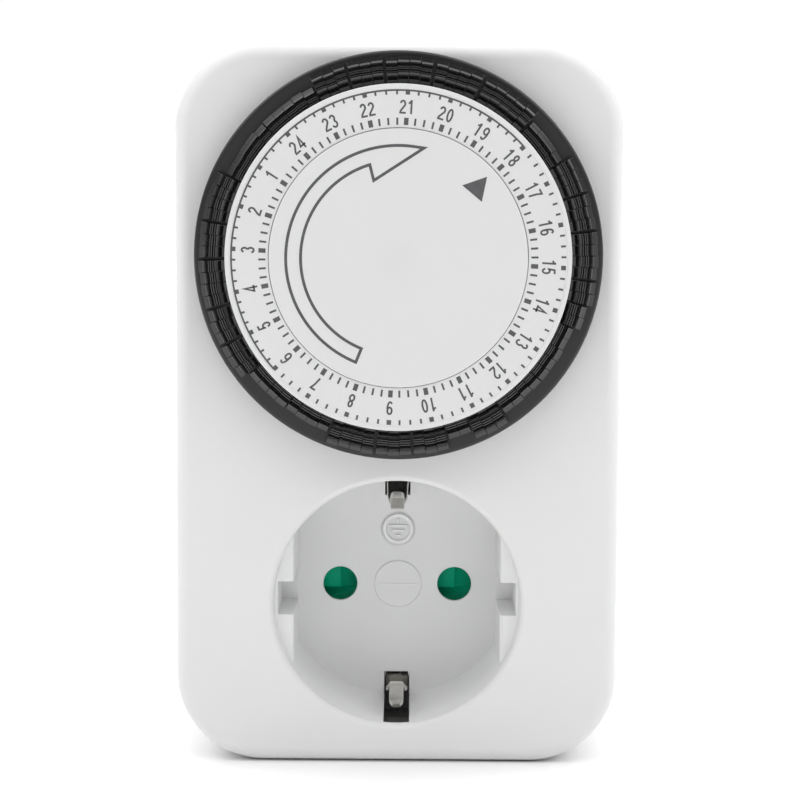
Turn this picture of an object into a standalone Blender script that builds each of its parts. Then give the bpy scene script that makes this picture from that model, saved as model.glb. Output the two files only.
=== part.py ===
"""Plug-in 24-hour dial timer with a Schuko socket in front and a Schuko plug behind.

The shapes are drawn in face coordinates, in millimetres: x to the right, y up, and height above
the front face towards the viewer, negative inside the housing. FACE_TO_WORLD takes them to
metres, with +Z up, the front facing -Y and the origin at the middle of the plug boss's end face.
"""

import math

import bmesh
import bpy
from mathutils import Matrix, Vector

MM = 0.001

# Housing. y = 0 is the axis that the socket and the plug share.
HALF_WIDTH = 35.4
BOTTOM = -26.0
TOP = 89.0
CORNER_RADIUS = 14.0
FRONT_FILLET = 2.0
REAR_FILLET = 2.5
WALL = 2.0
GAP = 0.3
FRONT_SHELL_DEPTH = 22.0
HOUSING_DEPTH = 32.0
REAR_PLATE = 3.0

# Plug (CEE 7/4 pattern: 4.8 mm pins, 19 mm long, on 19 mm centres).
BOSS_HEIGHT = 17.0
BOSS_RADIUS = 18.4
BOSS_FLAT = 16.4
PIN_SPACING = 19.0
PIN_RADIUS = 2.4
PIN_LENGTH = 19.0
PLUG_FACE = -(HOUSING_DEPTH + BOSS_HEIGHT)
CAVITY_HALF_X = 14.2
CAVITY_HALF_Y = 12.5
CAVITY_CORNER = 6.0
CAVITY_END = PLUG_FACE + 8.0
BOSS_FILLET = 0.8
PIN_HEAD_RADIUS = 3.2
PIN_HEAD_HEIGHTS = (-40.7, -39.0)

# Earth strap and its channels in the boss.
STRAP_THICKNESS = 0.8
STRAP_HALF_WIDTH = 1.6
STRAP_Y = 17.0
STRAP_BAR = (-23.0, -22.2)
STRAP_BAR_HALF_WIDTH = 2.5
CHANNEL_HALF_WIDTH = 2.0
CHANNEL_YS = (16.3, 18.5)

# Socket recess (CEE 7/3 pattern).
MOUTH_RADIUS = 19.75
RECESS_TOP_RADIUS = 19.4
RECESS_FLOOR_RADIUS = 18.9
RECESS_DEPTH = 17.5
FLOOR_THICKNESS = 2.0
WELL_RADIUS = 21.4
FLANGE_RADIUS = 23.0
FLANGE_THICKNESS = 2.0
RIB_RADIUS = 20.4
RECESS_FLAT = 16.7
KEY_NOTCH = 2.4
KEY_NOTCH_X = 19.3
KEY_NOTCH_DEPTH = 12.0
PIN_HOLE_RADIUS = 2.8
EARTH_SLOT = 2.1
EARTH_SLOT_INNER = 14.9

# Shutter behind the recess floor.
SHUTTER_TRAVEL = 6.2
SHUTTER_HALF_HEIGHT = 5.0
SHUTTER_FRONT = -19.8
SHUTTER_BACK = -21.6
SHUTTER_WINDOW = 3.2
SHUTTER_GUIDE = (5.4, 6.6)
SHUTTER_GUIDE_BACK = -21.9

# Dial.
DIAL_Y = 56.0
DIAL_OPENING = 30.2
DRUM_RADIUS = 32.0
DRUM_FLOOR = 5.2
DRUM_SKIRT = 0.8
FACE_RING_OUTER = 27.0
FACE_RING_INNER = 18.5
FACE_RING_TOP = 9.65
DISC_RADIUS = 20.05
DISC_TOP = 11.0
POST_RADIUS = 2.9

# Tabs: 96 quarter-hour tabs in banks that slide as one, each with one foot through the drum.
TAB_PITCH = 3.75
FIRST_TAB = -27.0
TAB_TRAVEL = 1.5
TAB_OUTER = 31.6
TAB_INNER = 26.3
BANK_CLEARANCE = 0.03
FOOT_INNER = 26.6
FOOT_OUTER = 27.6
FOOT_HALF_WIDTH = 0.9
# How far in the tabs stand, and the number of tabs in each bank, clockwise from FIRST_TAB.
TAB_RUNS = (
    (0.0, (3, 3, 4, 4, 5)),
    (TAB_TRAVEL, (4,)),
    (0.0, (3, 3, 4, 2)),
    (0.6, (2,)),
    (TAB_TRAVEL, (5, 4)),
    (0.0, (3,)),
    (TAB_TRAVEL, (2,)),
    (0.0, (3, 3, 4)),
    (TAB_TRAVEL, (4, 4)),
    (0.0, (3, 3, 4, 3, 4)),
    (TAB_TRAVEL, (5, 5)),
)

# Gear train: (teeth, module). Each gear meshes with the pinion after it.
RING_GEAR = (60, 0.7)
DRUM_PINION = (10, 0.7)
FIRST_WHEEL = (40, 0.5)
MIDDLE_PINION = (10, 0.5)
MIDDLE_WHEEL = (36, 0.4)
MOTOR_PINION = (10, 0.4)
TOOTH_SHARE = 0.40
TIP_SHARE = 0.22
ADDENDUM = 0.8
DEDENDUM = 1.25
# Directions, counted anticlockwise from +x, from each gear's centre to that of its pinion.
TO_FIRST_ARBOR = math.radians(30.0)
TO_MIDDLE_ARBOR = math.radians(206.0)
TO_MOTOR = math.radians(192.0)
ARBOR_RADIUS = 0.7
ARBOR_BORE = 1.0
PLATE_FRONT = -2.4
PLATE_BACK = -4.2
BRIDGE_FRONT = -9.5
BRIDGE_BACK = -10.5

# Switch: the lever's nose stands beside the feet of the tabs at the lower right of the dial.
NOSE_RADIUS = 28.9
NOSE_ANGLE = math.radians(-45.0)
LEVER_ARM = 10.0
BLADE_X = 16.0
BLADE_PIVOT_Y = 14.5

# Override slider: its pocket in the right wall is longer than the knob by the slider's travel, and
# its knob stays just below the wall's face.
POCKET_YS = (35.0, 45.0)
POCKET_HEIGHTS = (-13.7, -7.7)
SLOT_YS = (36.3, 43.7)
SLOT_HEIGHTS = (-12.1, -9.3)
KNOB_YS = (35.6, 40.4)
KNOB_HEIGHTS = (-13.4, -8.0)
KNOB_XS = (HALF_WIDTH - 0.7, HALF_WIDTH - 0.05)
NECK_YS = (36.6, 39.4)
NECK_HEIGHTS = (-11.8, -9.6)
NECK_XS = (HALF_WIDTH - 2.5, HALF_WIDTH - 0.4)
SLIDE_YS = (34.0, 42.0)
SLIDE_HEIGHTS = (-14.4, -7.0)
SLIDE_XS = (HALF_WIDTH - 3.4, HALF_WIDTH - 2.3)

# Housing screws, in pillars of the front shell.
SCREW_X = 27.0
SCREW_YS = (-17.5, 80.5)
PILLAR_RADIUS = 3.0
PILOT_RADIUS = 1.7
PILOT_END = -14.0
HEAD_RADIUS = 2.8
HEAD_SEAT_RADIUS = 3.2
HEAD_SEAT_DEPTH = 1.4
HEAD_HEIGHTS = (-31.8, -30.9)
SHANK_RADIUS = 1.4
SHANK_END = -16.0

ROUND_STEPS = 48
SMALL_STEPS = 16

FACE_TO_WORLD = (
    Matrix.Translation((0, PLUG_FACE * MM, 0))
    @ Matrix.Rotation(math.radians(90), 4, "X")
    @ Matrix.Diagonal((MM, MM, MM, 1))
)


# Scene and materials


def clear_scene():
    for obj in list(bpy.data.objects):
        bpy.data.objects.remove(obj, do_unlink=True)


def new_collection(name):
    collection = bpy.data.collections.new(name)
    bpy.context.scene.collection.children.link(collection)
    return collection


def material(name, colour, roughness, metallic=0.0):
    made = bpy.data.materials.new(name)
    made.use_nodes = True
    shader = made.node_tree.nodes["Principled BSDF"]
    shader.inputs["Base Color"].default_value = (*colour, 1.0)
    shader.inputs["Roughness"].default_value = roughness
    shader.inputs["Metallic"].default_value = metallic
    return made


clear_scene()
PARTS = new_collection("plug_in_timer")
CUTTERS = new_collection("cutters")
WHITE = material("white_plastic", (0.80, 0.80, 0.79), 0.35)
BLACK = material("black_plastic", (0.02, 0.02, 0.022), 0.4)
GREEN = material("green_plastic", (0.0, 0.20, 0.13), 0.4)
NATURAL = material("natural_plastic", (0.72, 0.70, 0.62), 0.45)
BRASS = material("brass", (0.70, 0.52, 0.22), 0.3, 1.0)
NICKEL = material("nickel_plate", (0.66, 0.65, 0.62), 0.25, 1.0)
STEEL = material("steel", (0.56, 0.57, 0.58), 0.35, 1.0)
COPPER = material("copper_wire", (0.60, 0.26, 0.12), 0.4, 1.0)


# Shapes


def add_object(name, bm, finish, origin=None):
    """The object of a bmesh drawn in face coordinates, with its origin at a point given in them."""
    bmesh.ops.remove_doubles(bm, verts=bm.verts, dist=1e-4)
    bmesh.ops.recalc_face_normals(bm, faces=bm.faces)
    place = FACE_TO_WORLD @ Vector(origin or (0.0, 0.0, PLUG_FACE))
    bmesh.ops.transform(bm, matrix=Matrix.Translation(-place) @ FACE_TO_WORLD, verts=bm.verts)
    mesh = bpy.data.meshes.new(name)
    bm.to_mesh(mesh)
    bm.free()
    mesh.shade_smooth()
    mesh.set_sharp_from_angle(angle=math.radians(30))
    mesh.materials.append(finish)
    obj = bpy.data.objects.new(name, mesh)
    obj.location = place
    PARTS.objects.link(obj)
    return obj


def block(name, xs, ys, heights, finish=WHITE, origin=None, turn=None):
    """A box between the given limits, turned about the dial's axis if turn is given."""
    bm = bmesh.new()
    size = (xs[1] - xs[0], ys[1] - ys[0], heights[1] - heights[0])
    middle = [(pair[0] + pair[1]) / 2 for pair in (xs, ys, heights)]
    place = Matrix.Translation(middle) @ Matrix.Diagonal((*size, 1))
    bmesh.ops.create_cube(bm, size=1.0, matrix=place)
    if turn is not None:
        about = Matrix.Translation((0, DIAL_Y, 0)) @ Matrix.Rotation(turn, 4, "Z")
        bmesh.ops.transform(bm, matrix=about, verts=bm.verts)
    return add_object(name, bm, finish, origin)


def rod(name, centre, radius, heights, finish=WHITE, steps=SMALL_STEPS, origin=None):
    bm = bmesh.new()
    middle = Matrix.Translation((*centre, (heights[0] + heights[1]) / 2))
    bmesh.ops.create_cone(
        bm, cap_ends=True, segments=steps, radius1=radius, radius2=radius,
        depth=heights[1] - heights[0], matrix=middle,
    )
    return add_object(name, bm, finish, origin)


def prism(name, outline, heights, finish=WHITE, origin=None, across=False):
    """An outline of (x, y) points extruded in height, or of (height, y) points extruded along x."""
    bm = bmesh.new()
    face = bm.faces.new([bm.verts.new((a, b, heights[0])) for a, b in outline])
    swept = bmesh.ops.extrude_face_region(bm, geom=[face])["geom"]
    moved = [item for item in swept if isinstance(item, bmesh.types.BMVert)]
    bmesh.ops.translate(bm, vec=(0, 0, heights[1] - heights[0]), verts=moved)
    if across:
        swap = Matrix(((0, 0, 1, 0), (0, 1, 0, 0), (1, 0, 0, 0), (0, 0, 0, 1)))
        bmesh.ops.transform(bm, matrix=swap, verts=bm.verts)
    return add_object(name, bm, finish, origin)


def plate(name, outlines, heights, finish=WHITE, origin=None):
    """A flat plate from a filled 2D curve: the first outline is its edge and the others are holes."""
    curve = bpy.data.curves.new(name, "CURVE")
    curve.dimensions = "2D"
    curve.fill_mode = "BOTH"
    curve.extrude = (heights[1] - heights[0]) / 2
    for outline in outlines:
        spline = curve.splines.new("POLY")
        spline.points.add(len(outline) - 1)
        for point, (x, y) in zip(spline.points, outline):
            point.co = (x, y, 0, 1)
        spline.use_cyclic_u = True
    guide = bpy.data.objects.new(name + "_outline", curve)
    CUTTERS.objects.link(guide)
    filled = bpy.data.meshes.new_from_object(guide.evaluated_get(bpy.context.evaluated_depsgraph_get()))
    bm = bmesh.new()
    bm.from_mesh(filled)
    bmesh.ops.translate(bm, vec=(0, 0, (heights[0] + heights[1]) / 2), verts=bm.verts)
    bpy.data.objects.remove(guide)
    return add_object(name, bm, finish, origin)


def turned(name, profile, centre, finish=WHITE, steps=ROUND_STEPS, arc=360.0, start=0.0, closed=True):
    """A profile of (radius, height) points turned about the centre, in whole or as a capped arc."""
    mesh = bpy.data.meshes.new(name + "_profile")
    count = len(profile)
    edges = [(i, i + 1) for i in range(count - 1)]
    if closed:
        edges.append((count - 1, 0))
    mesh.from_pydata([(radius, 0.0, height) for radius, height in profile], edges, [])
    guide = bpy.data.objects.new(name + "_profile", mesh)
    CUTTERS.objects.link(guide)
    screw = guide.modifiers.new("turn", "SCREW")
    screw.angle = math.radians(arc)
    screw.steps = screw.render_steps = steps
    screw.use_merge_vertices = arc == 360.0
    screw.merge_threshold = 1e-4
    solid = bpy.data.meshes.new_from_object(guide.evaluated_get(bpy.context.evaluated_depsgraph_get()))
    bm = bmesh.new()
    bm.from_mesh(solid)
    bmesh.ops.remove_doubles(bm, verts=bm.verts, dist=1e-4)
    if arc < 360.0:
        bmesh.ops.holes_fill(bm, edges=[edge for edge in bm.edges if edge.is_boundary])
    about = Matrix.Translation((*centre, 0)) @ Matrix.Rotation(math.radians(start), 4, "Z")
    bmesh.ops.transform(bm, matrix=about, verts=bm.verts)
    bpy.data.objects.remove(guide)
    return add_object(name, bm, finish, (*centre, 0.0))


def helper(obj):
    """Makes an object a cutter or a piece to join: kept out of the parts and of any render."""
    PARTS.objects.unlink(obj)
    CUTTERS.objects.link(obj)
    obj.hide_render = True
    obj.display_type = "WIRE"
    return obj


def combine(target, operation, *others):
    for other in others:
        modifier = target.modifiers.new(operation.lower(), "BOOLEAN")
        modifier.operation = operation
        modifier.object = helper(other)
    return target


def cut(target, *cutters):
    return combine(target, "DIFFERENCE", *cutters)


def join(target, *others):
    return combine(target, "UNION", *others)


def round_edges(obj, width, segments, chosen):
    """Bevels the edges whose two ends are chosen, by their place in face coordinates."""
    to_face = FACE_TO_WORLD.inverted() @ Matrix.Translation(obj.location)
    weights = obj.data.attributes.new("bevel_weight_edge", "FLOAT", "EDGE")
    for edge in obj.data.edges:
        ends = [to_face @ obj.data.vertices[i].co for i in edge.vertices]
        weights.data[edge.index].value = float(all(chosen(end) for end in ends))
    bevel = obj.modifiers.new("round", "BEVEL")
    bevel.limit_method = "WEIGHT"
    bevel.width = width * MM
    bevel.segments = segments
    return obj


# Outlines


def circle(centre, radius, steps=ROUND_STEPS, turn=0.0):
    angles = [turn + 2 * math.pi * i / steps for i in range(steps)]
    return [(centre[0] + radius * math.cos(a), centre[1] + radius * math.sin(a)) for a in angles]


def rounded_rectangle(xs, ys, radius, steps=6):
    points = []
    corners = ((xs[1], ys[1], -1, -1), (xs[0], ys[1], 1, -1), (xs[0], ys[0], 1, 1), (xs[1], ys[0], -1, 1))
    for quarter, (x, y, inward_x, inward_y) in enumerate(corners):
        for i in range(steps + 1):
            angle = math.pi / 2 * (quarter + i / steps)
            points.append((
                x + inward_x * radius + radius * math.cos(angle),
                y + inward_y * radius + radius * math.sin(angle),
            ))
    return points


def flatted_circle(centre, radius, half_width, turn=0.0, steps=16):
    """A circle with a flat on its left and its right, turned about its centre."""
    first = math.acos(half_width / radius)
    points = []
    for facing in (turn, turn + math.pi):
        for i in range(steps + 1):
            points.append(beside(centre, facing + first + (math.pi - 2 * first) * i / steps, radius))
    return points


def strip_outline(points, thickness):
    """The outline of a bent strip, from its middle line."""
    sides = ([], [])
    for i, point in enumerate(points):
        here = Vector(point)
        before = Vector(points[max(i - 1, 0)])
        after = Vector(points[min(i + 1, len(points) - 1)])
        into = (here - before).normalized() if i else (after - here).normalized()
        out = (after - here).normalized() if i < len(points) - 1 else into
        along = (into + out).normalized()
        across = Vector((-along.y, along.x)) * thickness / 2 / max(along.dot(into), 0.5)
        sides[0].append(tuple(here + across))
        sides[1].append(tuple(here - across))
    return sides[0] + sides[1][::-1]


def gear_radii(gear, inner=False):
    teeth, module = gear
    pitch = teeth * module / 2
    sign = -1 if inner else 1
    return pitch, pitch + sign * ADDENDUM * module, pitch - sign * DEDENDUM * module


def gear_outline(gear, centre, turn, inner=False):
    """Straight-sided teeth, thinner than half the pitch so that they run free. One points along turn."""
    teeth = gear[0]
    _, tip, root = gear_radii(gear, inner)
    step = 2 * math.pi / teeth
    root_half = step * (TOOTH_SHARE - TIP_SHARE / 2) * 0.92
    tip_half = step * TIP_SHARE / 2
    points = []
    for i in range(teeth):
        middle = turn + i * step
        for radius, angle in ((root, -root_half), (tip, -tip_half), (tip, tip_half), (root, root_half)):
            points.append((
                centre[0] + radius * math.cos(middle + angle),
                centre[1] + radius * math.sin(middle + angle),
            ))
    return points


def meshed_turn(gear, gear_turn, pinion, direction, inner=False):
    """The turn that puts the pinion's teeth between those of the gear, along the line of centres."""
    phase = (direction - gear_turn) * gear[0] / (2 * math.pi)
    step = 2 * math.pi / pinion[0]
    if inner:
        return direction - (phase + 0.5) * step
    return direction + math.pi - (0.5 - phase) * step


def beside(centre, direction, distance):
    return (centre[0] + distance * math.cos(direction), centre[1] + distance * math.sin(direction))


def side_by_side(centre, spacing):
    return [(centre[0] + side * spacing / 2, centre[1]) for side in (-1, 1)]


DIAL = (0.0, DIAL_Y)
PIN_PLACES = side_by_side((0.0, 0.0), PIN_SPACING)
SCREW_PLACES = [(side * SCREW_X, y) for y in SCREW_YS for side in (-1, 1)]
FIRST_ARBOR = beside(DIAL, TO_FIRST_ARBOR, gear_radii(RING_GEAR)[0] - gear_radii(DRUM_PINION)[0])
MIDDLE_ARBOR = beside(
    FIRST_ARBOR, TO_MIDDLE_ARBOR, gear_radii(FIRST_WHEEL)[0] + gear_radii(MIDDLE_PINION)[0]
)
MOTOR = beside(MIDDLE_ARBOR, TO_MOTOR, gear_radii(MIDDLE_WHEEL)[0] + gear_radii(MOTOR_PINION)[0])
NOSE = beside(DIAL, NOSE_ANGLE, NOSE_RADIUS)
LEVER_PIVOT = beside(NOSE, math.radians(225), LEVER_ARM)
BRIDGE_POSTS = ((-17.0, 46.0), (-17.0, 68.0), (24.0, 48.0))
PLATE_PILLARS = ((-27.0, 50.0), (28.8, 52.0), (0.0, 83.0))


# Housing


def front_shell():
    outline = rounded_rectangle((-HALF_WIDTH, HALF_WIDTH), (BOTTOM, TOP), CORNER_RADIUS)
    shell = prism("front_shell", outline, (-FRONT_SHELL_DEPTH, 0))
    round_edges(shell, FRONT_FILLET, 3, lambda place: abs(place.z) < 1e-3)
    inside = rounded_rectangle(
        (-HALF_WIDTH + WALL, HALF_WIDTH - WALL), (BOTTOM + WALL, TOP - WALL), CORNER_RADIUS - WALL
    )
    cut(shell, prism("front_hollow", inside, (-FRONT_SHELL_DEPTH - 1, -WALL)))
    for i, place in enumerate(SCREW_PLACES):
        pillar_heights = (-HOUSING_DEPTH + REAR_PLATE + GAP, -WALL / 2)
        join(shell, rod(f"screw_pillar_{i}", place, PILLAR_RADIUS, pillar_heights, steps=12))
        cut(shell, rod(f"pilot_hole_{i}", place, PILOT_RADIUS, (-HOUSING_DEPTH, PILOT_END), steps=10))
    cut(
        shell,
        rod("dial_opening", DIAL, DIAL_OPENING, (-WALL - 1, 1), steps=ROUND_STEPS),
        rod("socket_mouth", (0, 0), MOUTH_RADIUS, (-WALL - 1, 1), steps=ROUND_STEPS),
        block("slider_pocket", (HALF_WIDTH - 1, HALF_WIDTH + 1), POCKET_YS, POCKET_HEIGHTS),
        block("slider_slot", (HALF_WIDTH - WALL - 1, HALF_WIDTH), SLOT_YS, SLOT_HEIGHTS),
    )


def rear_shell():
    outline = rounded_rectangle((-HALF_WIDTH, HALF_WIDTH), (BOTTOM, TOP), CORNER_RADIUS)
    shell = prism("rear_shell", outline, (-HOUSING_DEPTH, -FRONT_SHELL_DEPTH - GAP))
    round_edges(shell, REAR_FILLET, 3, lambda place: abs(place.z + HOUSING_DEPTH) < 1e-3)
    boss_edge = flatted_circle((0, 0), BOSS_RADIUS, BOSS_FLAT)
    boss = prism("plug_boss", boss_edge, (PLUG_FACE, 1 - HOUSING_DEPTH))
    round_edges(boss, BOSS_FILLET, 2, lambda place: abs(place.z - PLUG_FACE) < 1e-3)
    join(shell, boss)
    inside = rounded_rectangle(
        (-HALF_WIDTH + WALL, HALF_WIDTH - WALL), (BOTTOM + WALL, TOP - WALL), CORNER_RADIUS - WALL
    )
    cavity = rounded_rectangle(
        (-CAVITY_HALF_X, CAVITY_HALF_X), (-CAVITY_HALF_Y, CAVITY_HALF_Y), CAVITY_CORNER, 3
    )
    through = 1 - HOUSING_DEPTH + REAR_PLATE
    cut(
        shell,
        prism("rear_hollow", inside, (-HOUSING_DEPTH + REAR_PLATE, -FRONT_SHELL_DEPTH + 1)),
        prism("boss_cavity", cavity, (CAVITY_END, through)),
    )
    for i, place in enumerate(PIN_PLACES):
        bore = (PLUG_FACE - 1, CAVITY_END + 1)
        cut(shell, rod(f"pin_bore_{i}", place, PIN_RADIUS + GAP, bore, steps=20))
    for side in (-1, 1):
        reach = sorted(side * y for y in CHANNEL_YS)
        channel = (-CHANNEL_HALF_WIDTH, CHANNEL_HALF_WIDTH)
        cut(shell, block(f"earth_channel_{side}", channel, reach, (PLUG_FACE + 1.5, through)))
    for i, place in enumerate(SCREW_PLACES):
        cut(
            shell,
            rod(
                f"screw_seat_{i}", place, HEAD_SEAT_RADIUS,
                (-HOUSING_DEPTH - 1, HEAD_SEAT_DEPTH - HOUSING_DEPTH),
            ),
            rod(f"screw_way_{i}", place, PILOT_RADIUS, (-HOUSING_DEPTH, through), steps=10),
        )


def housing_screws():
    for i, place in enumerate(SCREW_PLACES, 1):
        screw = rod(
            f"housing_screw_{i}", place, HEAD_RADIUS, HEAD_HEIGHTS, STEEL, origin=(*place, HEAD_HEIGHTS[1])
        )
        shank = (HEAD_HEIGHTS[1] - 0.1, SHANK_END)
        join(screw, rod(f"screw_shank_{i}", place, SHANK_RADIUS, shank, STEEL, steps=10))
        drive_xs = (place[0] - 2, place[0] + 2)
        drive_ys = (place[1] - 0.3, place[1] + 0.3)
        cut(screw, block(f"screw_drive_{i}", drive_xs, drive_ys, (-HOUSING_DEPTH, HEAD_HEIGHTS[0] + 0.4)))


def override_slider():
    slider = block(
        "override_slider", KNOB_XS, KNOB_YS, KNOB_HEIGHTS, BLACK,
        origin=(HALF_WIDTH, sum(KNOB_YS) / 2, sum(KNOB_HEIGHTS) / 2),
    )
    join(
        slider,
        block("slider_neck", NECK_XS, NECK_YS, NECK_HEIGHTS),
        block("slider_back", SLIDE_XS, SLIDE_YS, SLIDE_HEIGHTS),
    )


# Socket


def socket_insert():
    front = -WALL - GAP
    back = -RECESS_DEPTH - FLOOR_THICKNESS
    profile = [
        (0, -RECESS_DEPTH), (RECESS_FLOOR_RADIUS, -RECESS_DEPTH), (RECESS_TOP_RADIUS, front),
        (FLANGE_RADIUS, front), (FLANGE_RADIUS, front - FLANGE_THICKNESS),
        (WELL_RADIUS, front - FLANGE_THICKNESS), (WELL_RADIUS, back), (0, back),
    ]
    insert = turned("socket_insert", profile, (0.0, 0.0), closed=False)
    reach = math.acos(RECESS_FLAT / RIB_RADIUS)
    for side in (0, 1):
        segment = [beside((0, 0), math.pi * side + reach * (i / 4 - 1), RIB_RADIUS) for i in range(9)]
        join(insert, prism(f"flat_{side}", segment, (-RECESS_DEPTH - 1, front - GAP)))
    for side in (-1, 1):
        limits = sorted((side * (RECESS_FLAT - 1), side * KEY_NOTCH_X))
        notch = block(f"key_notch_{side}", limits, (-KEY_NOTCH, KEY_NOTCH), (-KEY_NOTCH_DEPTH, 0))
        guide = sorted(side * y for y in SHUTTER_GUIDE)
        rail = block(f"shutter_rail_{side}", (-18, 18), guide, (SHUTTER_GUIDE_BACK, back + 0.5))
        reach = sorted((side * EARTH_SLOT_INNER, side * (FLANGE_RADIUS + 1)))
        slot = block(f"earth_slot_{side}", (-EARTH_SLOT, EARTH_SLOT), reach, (back - 1, 0))
        cut(insert, notch, slot)
        join(insert, rail)
    for i, place in enumerate(PIN_PLACES):
        cut(insert, rod(f"pin_hole_{i}", place, PIN_HOLE_RADIUS, (back - 1, 0), steps=24))


def socket_shutter():
    """Slides to the right until its two windows stand behind the pin holes."""
    half = SHUTTER_WINDOW
    windows = [place[0] - SHUTTER_TRAVEL for place in PIN_PLACES]
    shutter = block(
        "socket_shutter", (windows[0] - half - 0.6, -windows[0] - 2.4),
        (-SHUTTER_HALF_HEIGHT, SHUTTER_HALF_HEIGHT), (SHUTTER_BACK, SHUTTER_FRONT), GREEN,
        origin=(0, 0, SHUTTER_FRONT),
    )
    for i, x in enumerate(windows):
        through = (SHUTTER_BACK - 1, SHUTTER_FRONT + 1)
        cut(shutter, block(f"shutter_window_{i}", (x - half, x + half), (-half, half), through))


def shutter_spring():
    """A tension spring on the left end of the shutter."""
    turns, per_turn, coil, wire = 6, 8, 1.2, 0.2
    start, length, height = -28.5, 8.0, -21.3
    curve = bpy.data.curves.new("shutter_spring", "CURVE")
    curve.dimensions = "3D"
    curve.bevel_depth = wire
    curve.bevel_resolution = 1
    curve.use_fill_caps = True
    spline = curve.splines.new("POLY")
    spline.points.add(turns * per_turn)
    for i, point in enumerate(spline.points):
        angle = 2 * math.pi * i / per_turn
        along = start + length * i / (turns * per_turn)
        point.co = (along, coil * math.cos(angle), height + coil * math.sin(angle), 1)
    guide = bpy.data.objects.new("spring_line", curve)
    CUTTERS.objects.link(guide)
    wire_mesh = bpy.data.meshes.new_from_object(guide.evaluated_get(bpy.context.evaluated_depsgraph_get()))
    bm = bmesh.new()
    bm.from_mesh(wire_mesh)
    bpy.data.objects.remove(guide)
    add_object("shutter_spring", bm, STEEL, (start, 0, height))


def earth_strap():
    """One stamped strap: clips in the recess, contacts on the boss, and a bar between them."""
    strap = block(
        "earth_strap", (-STRAP_BAR_HALF_WIDTH, STRAP_BAR_HALF_WIDTH), (-STRAP_Y, STRAP_Y), STRAP_BAR, BRASS
    )
    for side in (-1, 1):
        line = [(-3.0, 17.3), (-6.5, 14.4), (-18.5, STRAP_Y), (PLUG_FACE + 2.0, STRAP_Y)]
        outline = strip_outline([(height, side * y) for height, y in line], STRAP_THICKNESS)
        strip = (-STRAP_HALF_WIDTH, STRAP_HALF_WIDTH)
        join(strap, prism(f"earth_strip_{side}", outline, strip, BRASS, across=True))


# Current path


def plug_pins():
    for name, place in zip(("neutral_pin", "line_pin"), PIN_PLACES):
        end = PLUG_FACE - PIN_LENGTH
        head_back, head_front = PIN_HEAD_HEIGHTS
        profile = [
            (0, end), (1.4, end), (2.1, end + 0.6), (PIN_RADIUS, end + 1.6), (PIN_RADIUS, head_back),
            (PIN_HEAD_RADIUS, head_back), (PIN_HEAD_RADIUS, head_front), (0, head_front),
        ]
        turned(name, profile, place, NICKEL, steps=20, closed=False)


def pin_clip(name, side, length):
    """Two leaves and the web between them, open to the front for the inserted pin."""
    inner, outer = 6.2, 12.8
    leaf_thickness = 0.6
    web_xs = sorted((side * (inner + 0.1), side * (outer - 0.1)))
    web = block(name, web_xs, (-3.6, -3.0), (-length, -23.4), BRASS)
    for x in (inner, outer - leaf_thickness):
        leaf_xs = sorted((side * x, side * (x + leaf_thickness)))
        join(web, block(f"{name}_leaf_{x}", leaf_xs, (-3.4, 3.0), (-36.5, -23.2), BRASS))
    return web


def current_path():
    neutral = pin_clip("neutral_contact", -1, 38.5)
    join(neutral, block("neutral_base", (-12.8, -6.2), (-3.5, 3.0), (-38.7, -38.0), BRASS))

    line = pin_clip("line_contact", 1, 36.4)
    join(
        line,
        block("line_riser", (12.3, 12.9), (-2.0, 16.4), (-27.2, -23.4), BRASS),
        block("blade_foot", (12.4, BLADE_X - GAP), (15.9, 16.5), (-27.1, -23.5), BRASS),
    )

    busbar = block("line_busbar", (6.5, 12.5), (-3.0, 4.0), (-38.7, -38.0), BRASS)
    join(
        busbar,
        block("busbar_neck", (6.4, 10.1), (3.0, 11.3), (-38.65, -38.05), BRASS),
        block("busbar_shelf", (6.6, 10.0), (10.5, 11.2), (-38.6, -24.0), BRASS),
        block("busbar_riser", (6.7, 9.9), (10.6, 32.9), (-24.8, -24.1), BRASS),
        block("busbar_arm", (6.8, 14.3), (30.0, 32.8), (-24.7, -24.2), BRASS),
        block("fixed_contact", (13.7, 14.4), (29.9, 33.0), (-27.0, -22.0), BRASS),
    )


def switch():
    blade = block(
        "switch_blade", (BLADE_X, BLADE_X + 0.4), (BLADE_PIVOT_Y - 0.5, 34.8), (-27.0, -22.0), BRASS,
        origin=(BLADE_X + 0.2, BLADE_PIVOT_Y, -24.5),
    )
    join(blade, block("moving_contact", (BLADE_X - 0.8, BLADE_X + 0.2), (30.4, 32.6), (-25.6, -23.4), BRASS))

    end_radius = 2.2
    along = math.radians(45)
    capsule = []
    for centre, facing in ((NOSE, along), (LEVER_PIVOT, along + math.pi)):
        for i in range(9):
            capsule.append(beside(centre, facing + math.pi * (i / 8 - 0.5), end_radius))
    lever = plate(
        "switch_lever", [capsule, circle(LEVER_PIVOT, 1.5, 12)], (-6.6, -5.0), NATURAL,
        origin=(*LEVER_PIVOT, -5.8),
    )
    join(
        lever,
        rod("lever_nose", NOSE, 0.7, (-5.8, 3.4), NATURAL, steps=12),
        rod("lever_finger", (17.3, 34.0), 0.6, (-26.0, -5.8), NATURAL, steps=10),
    )


# Dial


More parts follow.
